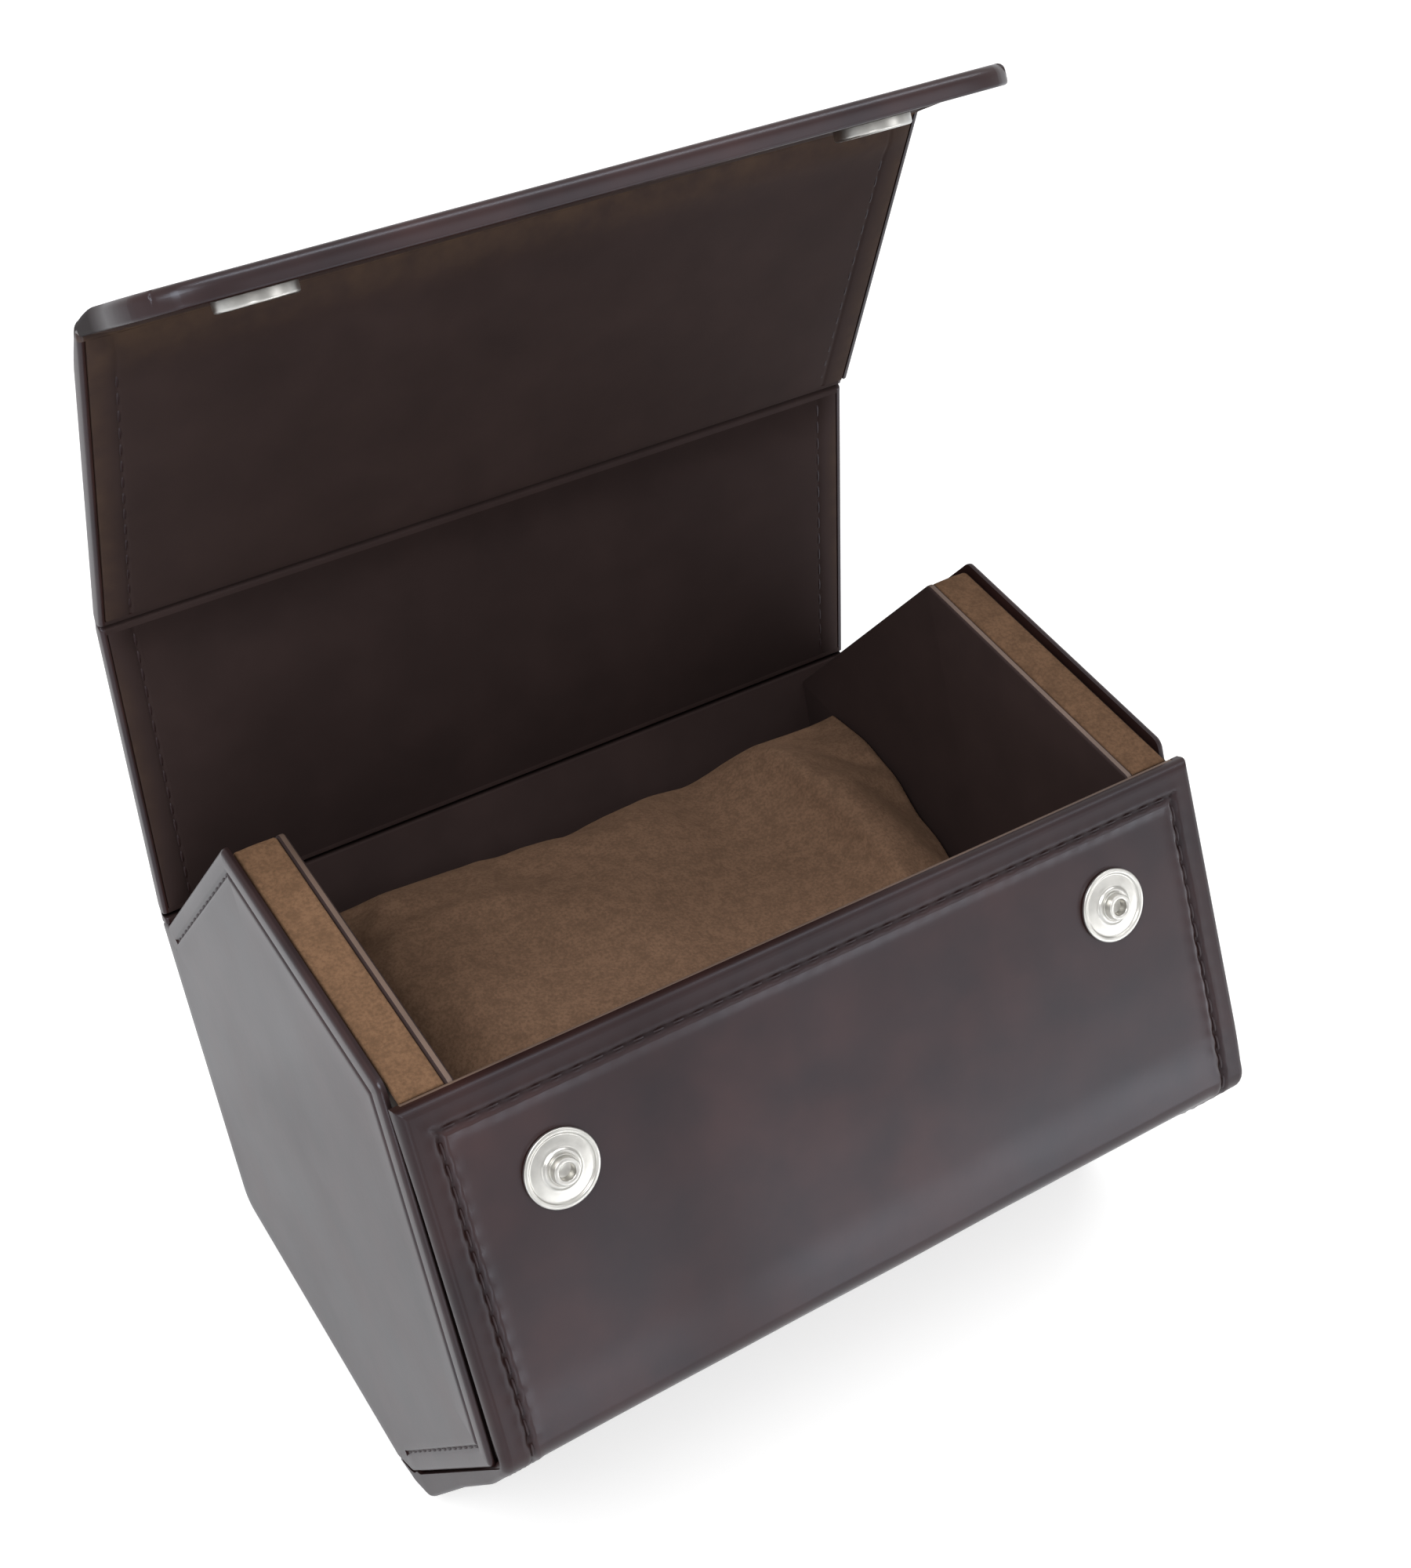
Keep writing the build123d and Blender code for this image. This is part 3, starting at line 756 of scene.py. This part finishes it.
def make_facing(end, sign):
    """The inner facing: dark lining with its rolled top edge in a lighter brown, a painted sheen, which shows
    beside the suede.
    """
    near, thick = HALF - BLOCK, 1.2
    roll, back_roll = 0.45, 0.3
    radii = [0.9, 1.2, 0.6, FOLD_INSIDE + 0.5, NOSE_INSIDE + 0.5, FOLD_INSIDE + 0.5]
    inset = bent_outline(CORE, radii, 6)
    loops = [filled_loop(inset(d), 6, [12, 12, 8, 6, 8, 12])[0] for d in round_steps(roll, 5)]
    rounds = [1 - math.sin(a) for a in np.linspace(0, math.pi / 2, 5)]
    chain = [(near + roll * r, loop) for loop, r in zip(loops, rounds)][::-1]
    chain += [(near + thick - back_roll * r, loop) for loop, r in zip(loops, rounds)]
    hubs = [(sign * x, 0, 43.0) for x in (chain[0][0], chain[-1][0])]
    points = np.vstack([*(at_x(sign * x, loop) for x, loop in chain), *hubs])
    count, n = len(loops[0]), len(chain) * len(loops[0])
    faces = tube(len(chain), count)
    kinds = [i // count in (3, 4) for i in range(len(faces))] + [False] * (2 * count)
    for k in range(count):
        m = (k + 1) % count
        faces += [(k, m, n), (n - count + k, n - count + m, n + 1)]
    face = mesh_object(f"{end}_facing", points, faces, "lining", "rolled", indices=kinds)
    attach(face, "root")
    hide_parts(f"{end}_inner_facing")


# --- folding lid ---
LID_TURN = 0.75         # leather that shows round the lining inside the lid
LID_BORDER = 4.3        # stitch line from the lid's side edges
LID_EDGE, FREE_EDGE = 1.0, 1.3      # rounding of the outer leather at the sides and the flap's end
BRIM, LINING_EDGE = 0.45, 0.22      # rounding of the turned leather inside, and of the lining
OUTSIDE, INSIDE = 0.3, 0.28         # widths of the border's groove
DEEPEST = 1.9           # drop of a panel's outer leather


def rounded_plan(a, b, half, length, radius):
    """Grid (a across, b along) with the two far corners drawn in to a radius, lines and all."""
    a, b = a.copy(), b.copy()
    x, y = np.abs(a) - (half - radius), b - (length - radius)
    inside = (x > 0) & (y > 0)
    x, y = x[inside], y[inside]
    scale = np.maximum(x, y) / np.hypot(x, y)
    a[inside] = np.sign(a[inside]) * (half - radius + x * scale)
    b[inside] = length - radius + y * scale
    return a, b


def flare(a, share):
    """How far the top panel's right edge stands out where it meets the rear panel."""
    return 0.9 * within(a / HALF) ** 4 * (1 - share)


def soft_fold(distance):
    """Drop of the outer leather beside the flap crease, where there is no board under it."""
    return 0.85 * within(1 - distance / 6.0) ** 1.5


def make_panel(name, body, line, angle, length):
    """One lid panel: turned leather with a pressed border outside, and a stitched lining inside."""
    free_end, is_top = name == "flap", name == "lid_top"
    across, inside = heading(angle), heading(angle + 90)
    origin = line + across * GAP
    span = length - GAP

    def place(b, height):
        """(Y, Z) along the panel, and above its middle towards the inside of the box."""
        return origin + np.multiply.outer(b, across) + np.multiply.outer(height, inside)

    def plan(s, u, half, reach, radius, wave):
        """A grid's distances along the panel, from its sides and its border, its (a, b) and waves."""
        run, U, side = grid(s, u)
        a, b, border, calm = U - half, run, side, within(run / 3)
        if free_end:
            border = np.minimum(side, reach - run)
            a, b = rounded_plan(a, run, half, reach, radius)
        else:
            calm = calm * within((span - run) / 3)
        if is_top:
            a = a + flare(a, run / span)
        return run, side, border, a, b, waves(a, place(b, 0 * b), wave) * calm

    edge = round_steps(LID_EDGE, 6)
    marks = [*edge, LID_TURN, LID_TURN + 0.02, *STEP, *groove_steps(LID_BORDER, OUTSIDE)]
    u = positions(2 * HALF, marks, marks)
    near = [0.4, 1.5, 3.0, 4.5, 6.0]
    s = positions(span, near, [*round_steps(FREE_EDGE, 8), *marks, 1.6, 2.0] if free_end else near)
    S, side, border, a, b, wave = plan(s, u, HALF, span, FLAP_CORNER, (23, 7.7, 0.15))
    drop = rounding(side, LID_EDGE)
    if free_end:
        drop = np.maximum(drop, rounding(span - S, FREE_EDGE, 1.6)) + soft_fold(S)
    elif is_top:
        drop = drop + soft_fold(span - S)
    drop = np.minimum(drop, DEEPEST) + groove(border, LID_BORDER, OUTSIDE, 0.26)
    outer = place(b, -WALL / 2 + drop + wave * within(border / 4))
    pocket = np.where(border < TURN, WALL / 2 - 0.6, -WALL / 2 + LEATHER)
    inner = place(b, np.where(border <= LID_TURN + 0.001, WALL / 2 - rounding(border, BRIM), pocket))
    cover = mesh_object(f"{name}_cover", *slab(a, outer, inner), "outer")
    # Painted shade: the flap's outer leather is darker and duller towards its crease.
    if free_end:
        set_tone(cover, both_sheets(-0.75 * within((14 - b) / 8)))
    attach(cover, body)
    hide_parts(f"{name}_leather")

    # Lining, set in the turned leather with a thin dark line round it.
    start = LID_TURN + 0.12
    half, reach = HALF - start, span - (start if free_end else 0.0)
    marks = [*round_steps(LINING_EDGE, 4), *groove_steps(LID_BORDER - start, INSIDE)]
    near = [0.4, 1.5, 2.5, 3.5, 4.5, 6.0, 8.0]
    s, u = positions(reach, near, marks if free_end else near), positions(2 * half, marks, marks)
    S, _, border, a, b, wave = plan(s, u, half, reach, FLAP_CORNER - start, (20, 4.4, 0.12))
    rise = WALL / 2 - rounding(border, LINING_EDGE) - groove(border, LID_BORDER - start, INSIDE, 0.12)
    rise -= wave * within(border / 3)
    # It's raised and shows wear beside the flap crease. On the rear panel painted shade darkens it all over,
    # more towards the hinge and beside the lid crease.
    by_fold = S if free_end else span - S
    wear_and_shade = 0.4 * hump(border, 0.5, 1.1)
    if free_end or is_top:
        rise += 0.45 * hump(by_fold, 3.6, 2.0) * within(border / 2)
        wear_and_shade = np.maximum(wear_and_shade, 0.6 * within(1 - by_fold / 7.0) ** 1.3) + 0.03
    else:
        wear_and_shade -= 0.08 + 0.25 * within(1 - S / 20) + 0.3 * hump(by_fold, 0, 5.0)
    under = place(b, np.full_like(b, WALL / 2 - LINING + 0.02))
    face = mesh_object(f"{name}_inside", *slab(a, place(b, rise), under), "lining")
    set_tone(face, both_sheets(wear_and_shade))
    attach(face, body)
    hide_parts(f"{name}_lining")

    # Stitches on the lining side, and on the outside over the same line.
    places = []

    def stitch(x, t, step_x, step_t):
        for height, up in ((WALL / 2 - 0.12, inside), (-WALL / 2 + 0.2, -inside)):
            places.append(((x, *place(t, height)), (step_x, *(across * step_t)), (0, *up)))

    for t in stitch_run(0.6, span - (FLAP_CORNER if free_end else 0.6)):
        for x in (-HALF + LID_BORDER, HALF - LID_BORDER):
            stitch(x, t, 0, 1)
    if free_end:
        for x in stitch_run(-HALF + FLAP_CORNER, HALF - FLAP_CORNER):
            stitch(x, span - LID_BORDER, 1, 0)
        for turn in (15, 45, 75):
            c, t = heading(turn)
            r = FLAP_CORNER - LID_BORDER
            for sign in (-1, 1):
                stitch(sign * (HALF - FLAP_CORNER + r * c), span - FLAP_CORNER + r * t, -sign * t, c)
    thread = mesh_object(f"{name}_stitches", *capsules(places, 2.1, 0.38), "thread")
    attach(thread, body)


def make_crease(name, node, bodies, line, before, after, sharp, depth, soft=False):
    """Leather and lining of a crease, bent between the panels before and after it."""
    d, e = heading(before), heading(after)
    # A curve from panel to panel, with its places closest at the pinch in its middle.
    pinch_at = 0.5 + 0.2 * np.sin(np.linspace(-1.3, 1.3, 13))
    t = np.concatenate([np.linspace(0, 0.3, 4), pinch_at, np.linspace(0.7, 1, 4)])
    w = t[:, None]
    start, end = line - d * GAP, line + e * GAP
    a, b = start + d * GAP * 0.66, end - e * GAP * 0.66
    centre = (1 - w) ** 3 * start + 3 * w * (1 - w) ** 2 * a + 3 * w * w * (1 - w) * b + w**3 * end
    tangent = 3 * (1 - w) ** 2 * (a - start) + 6 * w * (1 - w) * (b - a) + 3 * w * w * (end - b)
    tangent /= np.linalg.norm(tangent, axis=1)[:, None]
    normal = np.column_stack([-tangent[:, 1], tangent[:, 0]])
    pinch = hump(t, 0.5, sharp)
    pinch -= pinch[0]
    inner_h = WALL / 2 - depth * pinch
    outer_h = -WALL / 2 + 0.28 * hump(t, 0.5, 0.3) * (t > 0) * (t < 1)
    if soft:
        outer_h = np.full_like(t, -WALL / 2 + soft_fold(0))
    edge = round_steps(LID_EDGE, 6)
    u = positions(2 * HALF, edge, edge)
    T, U, side = grid(np.arange(len(t)), u)
    inner = centre[T] + normal[T] * (inner_h[T] - rounding(side, BRIM))[..., None]
    outer = centre[T] + normal[T] * (outer_h[T] + rounding(side, LID_EDGE))[..., None]
    points, faces = slab(U - HALF, outer, inner)
    count = len(t) * len(u)
    kinds = [min(f) >= count and min(abs(points[i, 0]) for i in f) < HALF - 0.8 for f in faces]
    crease = mesh_object(name, points, faces, "outer", "lining", indices=kinds, sharp=60)
    # The soft flap crease's lining shows wear and is lighter. Painted shade darkens the pinch of each crease
    # and the soft crease's outer leather.
    wear_and_shade, crease_shade = (0.75, 0.45) if soft else (0.0, 0.3 + 0.7 * (depth > 0.8))
    dark = wear_and_shade - crease_shade * within(pinch * 1.6)
    set_tone(crease, np.concatenate([np.full(count, -0.75 * soft), np.repeat(dark, len(u))]))
    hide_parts(node)
    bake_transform(crease)


def make_lid():
    back = math.degrees(math.atan2(*(-along(BACK_))[::-1]))
    angles = (back, REAR_ANGLE, TOP_ANGLE, FLAP_ANGLE)
    lines = (HINGE, CREASE, FLAP_LINE)
    bodies = ("root", "lid_rear", "lid_top", "flap")
    names = ("hinge_crease", "lid_crease", "flap_crease")
    nodes = ("hinge_strip", "lid_crease_strip", "flap_crease_strip")
    lengths = (REAR_LENGTH - GAP, TOP_LENGTH - GAP, FLAP_LENGTH)
    pinches = ((0.1, 1.0), (0.12, 0.6), (0.28, 0.5, True))      # sharpness, depth, and whether it's soft
    for i, (line, body, angle) in enumerate(zip(lines, bodies[1:], angles[1:])):
        make_crease(names[i], nodes[i], bodies[i:i + 2], line, angles[i], angle, *pinches[i])
        make_panel(body, body, line, angle, lengths[i])


# --- snaps ---
def lathe(profile, origin, normal, bored=False, steps=96):
    """Points and faces of a (radius, height) profile turned about a (Y, Z) normal at origin.

    A bored piece is closed from the profile's last point to its first, any other by two caps.
    """
    normal, x = np.array([0, *unit(normal)]), np.array([1.0, 0, 0])
    y = np.cross(normal, x)
    points = []
    for r, h in profile:
        for k in range(steps):
            a = 2 * math.pi * k / steps
            points.append(np.asarray(origin) + normal * h + (x * math.cos(a) + y * math.sin(a)) * r)
    faces, cap = tube(len(profile), steps, bored), range(steps)
    if not bored:
        faces += [tuple(cap), tuple(len(points) - steps + k for k in cap)[::-1]]
    return np.array(points), faces


def bend(a, b, c, count=5):
    """Points of a soft corner at b, from a to c."""
    a, b, c = (np.asarray(v, float) for v in (a, b, c))
    t = np.linspace(0, 1, count)[:, None]
    return [tuple(p) for p in (1 - t) ** 2 * a + 2 * t * (1 - t) * b + t * t * c]


def make_snaps():
    stud = [
        (1.3, -2.2), (1.3, -0.05), (4.6, -0.05),
        *bend((4.85, -0.05), (5.0, -0.05), (5.0, 0.1)),
        *bend((5.0, 0.28), (4.98, 0.5), (4.72, 0.5)),
        *bend((4.55, 0.5), (4.36, 0.5), (4.3, 0.33)),
        *bend((4.25, 0.26), (4.15, 0.2), (3.95, 0.24)),
        (3.4, 0.3), (3.0, 0.33),
        *bend((2.78, 0.33), (2.6, 0.34), (2.48, 0.5)),
        *bend((2.35, 0.66), (2.2, 0.74), (2.0, 0.7)),
        *bend((1.9, 0.62), (1.74, 0.58), (1.75, 0.8), 4),
        (1.75, 1.4),
        *bend((1.75, 1.6), (1.75, 1.8), (1.52, 1.8)),
        *bend((1.3, 1.8), (1.1, 1.8), (1.08, 1.6)),
        (1.05, 0.9), (1.0, 0.5), (0.7, 0.42), (0.05, 0.4),
    ]
    socket = [
        (2.55, 0.36), (2.55, 1.14), (4.62, 1.14), (4.62, 0.02), (4.8, 0.0),
        *bend((4.9, 0.0), (5.0, 0.0), (5.0, 0.12)),
        *bend((5.0, 1.05), (5.0, 1.5), (4.55, 1.5), 7),
        (4.0, 1.46), (3.4, 1.44), (3.0, 1.47),
        *bend((2.75, 1.5), (2.25, 1.52), (2.22, 1.25)),
        (2.2, 0.8), (2.2, 0.36),
    ]
    inside = heading(FLAP_ANGLE + 90)
    seat = FLAP_LINE + heading(FLAP_ANGLE) * SOCKET_ALONG + inside * (WALL / 2)
    for end, sign in (("left", -1), ("right", 1)):
        made = lathe(stud, (sign * SNAP_X, *STUD), outward(FRONT_))
        piece = mesh_object(f"{end}_stud", *made, "metal", sharp=50)
        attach(piece, "root")
        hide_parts(f"{end}_snap_stud")
        made = lathe(socket, (sign * SNAP_X, *seat), inside, bored=True)
        piece = mesh_object(f"{end}_socket", *made, "metal", sharp=50)
        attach(piece, "flap")
        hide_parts(f"{end}_snap_socket")


# --- watch pillow ---
# (place, X, Y, Z): left to right along the back, down the right end, back along the front, up the left.
SEAM = [
    (0.00, -49.3, 36.0, 45.0),
    (0.14, -36.0, 37.4, 44.6),
    (0.22, -29.0, 37.8, 43.6),
    (0.30, -19.0, 38.6, 41.2),
    (0.40, -10.0, 39.0, 39.0),
    (0.50, 0.0, 39.2, 37.4),
    (0.62, 12.0, 39.3, 37.3),
    (0.74, 23.0, 39.0, 37.6),
    (0.82, 31.0, 38.6, 40.4),
    (0.86, 35.0, 38.2, 43.6),
    (0.92, 42.0, 38.4, 43.3),
    (0.97, 47.5, 38.8, 42.2),
    (1.00, 50.1, 38.6, 43.8),
    (1.12, 49.9, 29.6, 45.6),
    (1.22, 49.9, 22.0, 44.6),
    (1.32, 49.8, 15.0, 42.4),
    (1.45, 49.7, 6.0, 40.2),
    (1.70, 49.4, -14.0, 38.2),
    (2.00, 48.4, -36.5, 37.2),
    (2.30, 20.0, -38.4, 36.2),
    (2.60, -12.0, -38.2, 36.6),
    (3.00, -48.6, -36.4, 37.4),
    (3.30, -49.4, -14.0, 39.4),
    (3.60, -49.5, 10.0, 41.6),
    (3.85, -49.6, 27.0, 43.4),
]


def seam_point(t):
    """The pillow's seam at t from 0 to 4: back, right, front and left side, each one unit."""
    n, t = len(SEAM), t % 4
    times = [knot[0] for knot in SEAM] + [4.0]
    spots = np.array([knot[1:] for knot in SEAM])
    i = int(np.searchsorted(times, t, side="right") - 1)
    start, end = spots[i], spots[(i + 1) % n]
    # The seam has a corner at each whole place.
    before = start if times[i] % 1 == 0 else spots[i - 1]
    after = end if times[i + 1] % 1 == 0 else spots[(i + 2) % n]
    a, b = (end - before) / 2, (after - start) / 2
    f = (t - times[i]) / (times[i + 1] - times[i])
    f2, f3 = f * f, f * f * f
    return (2 * f3 - 3 * f2 + 1) * start + (f3 - 2 * f2 + f) * a + (-2 * f3 + 3 * f2) * end + (f3 - f2) * b


TOP_RISE, BOTTOM_DROP = 11, 24      # of the sheets from the seam, in the middle


def pillow_mesh(columns=72, rows=54):
    """Top and bottom sheets of the pillow on one seam: points, faces, and which points are seam."""
    # Lines are closer near the seam.
    even = (np.linspace(-1, 1, n) for n in (columns, rows))
    a, b = (np.sin(k * math.pi / 2) * 0.35 + k * 0.65 for k in even)
    A, B = np.meshgrid(a, b, indexing="ij")
    back = np.array([seam_point((x + 1) / 2) for x in a])
    right = np.array([seam_point(1 + (1 - y) / 2) for y in b])
    front = np.array([seam_point(2 + (1 - x) / 2) for x in a])
    left = np.array([seam_point(3 + (y + 1) / 2) for y in b])
    left[-1] = back[0]
    # Coons patch over the four seam sides.
    p, q = (A + 1)[..., None] / 2, (B + 1)[..., None] / 2
    sheet = (1 - q) * front[:, None] + q * back[:, None] + (1 - p) * left[None] + p * right[None]
    sheet -= (1 - p) * (1 - q) * front[0] + p * (1 - q) * front[-1]
    sheet -= (1 - p) * q * back[0] + p * q * back[-1]
    lift = ((1 - A**2) ** 0.55) * ((1 - B**2) ** 0.55)
    x, y = sheet[..., 0], sheet[..., 1]
    plump = 5.0 * hump(x, -45, 11) * hump(y, 24, 14) + 2.5 * hump(x, 40, 10) * hump(y, 10, 16)
    top, low = sheet.copy(), sheet.copy()
    top[..., 2] += TOP_RISE * lift + plump * np.sqrt(lift)
    low[..., 2] -= BOTTOM_DROP * lift
    index = np.arange(columns * rows).reshape(columns, rows)
    edge = np.ones((columns, rows), bool)
    edge[1:-1, 1:-1] = False
    under = np.where(edge, index, index + columns * rows)
    faces = []
    for i in range(columns - 1):
        for j in range(rows - 1):
            faces.append((index[i, j], index[i + 1, j], index[i + 1, j + 1], index[i, j + 1]))
            faces.append((under[i, j], under[i, j + 1], under[i + 1, j + 1], under[i + 1, j]))
    points = np.vstack([top.reshape(-1, 3), low.reshape(-1, 3)])
    used, faces = np.unique(faces, return_inverse=True)
    seam = np.concatenate([edge.ravel(), np.zeros(edge.size, bool)])
    return points[used], faces.reshape(-1, 4).tolist(), seam[used]


ROOM_X = 50.1           # half the room between the end blocks
CLEAR = 0.4             # from the lining to the pillow
UNDER_LID = ((66.2, 0.0), unit((1.0, 0.6438)))      # plane of the closed lid, moved by the pillow's lift


def room(points):
    """Points kept inside the box's lining and the end blocks, and under the closed lid when lifted."""
    x = np.clip(points[:, 0], -ROOM_X, ROOM_X)
    y, z = points[:, 1], np.maximum(points[:, 2], WALL + 0.35)
    planes = [(CORE[side] - outward(side) * CLEAR, outward(side)) for side in (BACK_, LOW_)]
    planes.append(UNDER_LID)
    for spot, n in planes:
        over = np.maximum((y - spot[0]) * n[0] + (z - spot[1]) * n[1], 0)
        y, z = y - over * n[0], z - over * n[1]
    return np.column_stack([x, y, z])


CLOTH = {
    "quality": 8,
    "mass": 0.25,
    "tension_stiffness": 30,
    "compression_stiffness": 30,
    "shear_stiffness": 8,
    "bending_stiffness": 2.0,
    "vertex_group_mass": "seam",
    "pin_stiffness": 1.0,
    "use_pressure": True,
    "uniform_pressure_force": 2.5,
    "shrink_min": -0.05,
}
FRAMES = 20             # of the cloth
FURTHEST = 12.0         # that the cloth may move a point


def filled_out(piece, start, seam):
    """Places of the pillow's points once cloth under pressure has pulled it taut on its seam."""
    group = piece.vertex_groups.new(name="seam")
    group.add([int(i) for i in np.flatnonzero(seam)], 1.0, "REPLACE")
    cloth = piece.modifiers.new("cloth", "CLOTH")
    for key, value in CLOTH.items():
        setattr(cloth.settings, key, value)
    cloth.settings.effector_weights.gravity = 0
    cloth.collision_settings.use_collision = False
    scene = bpy.context.scene
    for frame in range(1, FRAMES + 1):
        scene.frame_set(frame)
    shown = piece.evaluated_get(bpy.context.evaluated_depsgraph_get())
    moved = np.array([v.co for v in shown.data.vertices], float) / MM - start
    piece.modifiers.remove(cloth)
    scene.frame_set(1)
    reach = np.linalg.norm(moved, axis=1)[:, None]
    return start + moved * np.minimum(1, FURTHEST / np.maximum(reach, 1e-6))


def make_pillow():
    start, faces, seam = pillow_mesh()
    piece = mesh_object("pillow", start, faces, "pillow", sharp=180)
    start = filled_out(piece, start, seam)
    piece.data.vertices.foreach_set("co", (room(start) * MM).ravel())
    loose = piece.vertex_groups.new(name="loose")
    loose.add([int(i) for i in np.flatnonzero(~seam)], 1.0, "REPLACE")
    even = piece.modifiers.new("even", "SMOOTH")
    even.iterations, even.vertex_group = 6, "loose"
    more = piece.modifiers.new("smooth", "SUBSURF")
    more.levels = more.render_levels = 1
    bpy.context.view_layer.update()
    final = bpy.data.meshes.new_from_object(piece.evaluated_get(bpy.context.evaluated_depsgraph_get()))
    piece.modifiers.clear()
    piece.data = final
    final.shade_smooth()
    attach(piece, "pillow")
    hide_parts("pillow_top", "pillow_bottom", "pillow_filling")


# --- floor and light ---
FLOOR_SEEN, FLOOR_MIRRORED = 0.65, 0.47     # light that the floor adds for the camera and in reflections
SKY = 0.54


def make_floor():
    bpy.ops.mesh.primitive_plane_add(size=12, location=(0, 0, -0.0001))
    floor = bpy.context.active_object
    floor.name = "floor"
    n = Nodes("floor")
    shader = n.add("BsdfDiffuse", Color=(0.6, 0.6, 0.6))
    path = n.add("LightPath")
    mirrored = n.sum(path.outputs["Is Glossy Ray"], path.outputs["Is Transmission Ray"])
    # White to the camera, and a cool grey in reflections.
    lights = (
        (path.outputs["Is Camera Ray"], FLOOR_SEEN, (1, 1, 1)),
        (mirrored, FLOOR_MIRRORED, (0.92, 0.96, 1)),
    )
    for ray, power, colour in lights:
        glow = n.add("Emission", Color=colour, Strength=n.sum(ray, power, "MULTIPLY"))
        both = n.add("AddShader")
        for source, target in zip((shader, glow), both.inputs):
            n.put(source.outputs[0], target)
        shader = both
    n.put(shader.outputs[0], n.out.inputs["Surface"])
    floor.data.materials.append(n.material)


def make_backdrop():
    """White to the camera and low down in reflections, grey above in them."""
    world = bpy.data.worlds.new("studio")
    bpy.context.scene.world = world
    n = Nodes("studio", world)
    path = n.add("LightPath")
    direction = n.add("SeparateXYZ", Vector=n.add("TexCoord").outputs["Generated"])
    backdrop = n.spread(direction.outputs["Z"], 1.0, 0.6, 0.02, 0.3)
    backdrop = n.sum(backdrop, path.outputs["Is Camera Ray"], "MAXIMUM")
    mirrored = n.sum(path.outputs["Is Glossy Ray"], path.outputs["Is Transmission Ray"], "MAXIMUM")
    seen = n.sum(mirrored, path.outputs["Is Camera Ray"], "MAXIMUM")
    sky, white = (n.add("Background", Color=(1, 1, 1), Strength=power) for power in (SKY, backdrop))
    mix = n.add("MixShader")
    for source, target in zip((seen, sky.outputs[0], white.outputs[0]), mix.inputs):
        n.put(source, target)
    n.put(mix.outputs[0], n.out.inputs["Surface"])


def lamp(name, spot, target, size, power):
    """A rectangular lamp that the camera doesn't see, in metres and watts."""
    data = bpy.data.lights.new(name, "AREA")
    data.shape, data.size, data.size_y = "RECTANGLE", size[0], size[1]
    data.energy = power
    light = bpy.data.objects.new(name, data)
    light.visible_camera = False
    light.location = spot
    light.rotation_mode = "QUATERNION"
    light.rotation_quaternion = (Vector(target) - Vector(spot)).to_track_quat("-Z", "Y")
    link(light)


def make_stage():
    make_floor()
    make_backdrop()
    lamp("overhead", (0.36, 0.15, 0.8), (0.36, 0.13, 0.08), (0.9, 0.07), 2.2)
    lamp("left", (-0.32, -0.14, 0.6), (0, 0, 0.08), (0.3, 0.3), 2.0)
    lamp("low_left", (-0.55, -0.95, 0.28), (0, 0, 0.06), (0.25, 0.45), 1.0)
    lamp("low_front", (0.32, -0.5, 0.015), (0, -0.05, 0.045), (0.6, 0.026), 0.55)
    lamp("right_front", (0.4, -0.5, 0.45), (0.03, -0.04, 0.06), (0.35, 0.35), 0.5)
    bpy.context.scene.view_settings.view_transform = "Standard"


# --- the scene ---
for old in list(bpy.data.objects):
    bpy.data.objects.remove(old)
make_camera()
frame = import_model()
make_materials()

# Looks of the CAD nodes that no piece replaces, by the end of their names.
finish_of = {
    "board": "board", "end_core": "block", "washer": "steel",
    "socket_back": "metal", "snap_magnet": "magnet",
}
for name, node in frame["nodes"].items():
    for ending, finish in finish_of.items():
        if name.endswith(ending):
            node.data.materials.clear()
            node.data.materials.append(MATERIALS[finish])

make_wrap()
for end, sign in (("left", -1), ("right", 1)):
    make_end_panel(end, sign)
    make_rim(end, sign)
    make_facing(end, sign)
make_lid()
make_snaps()
make_pillow()
make_stage()
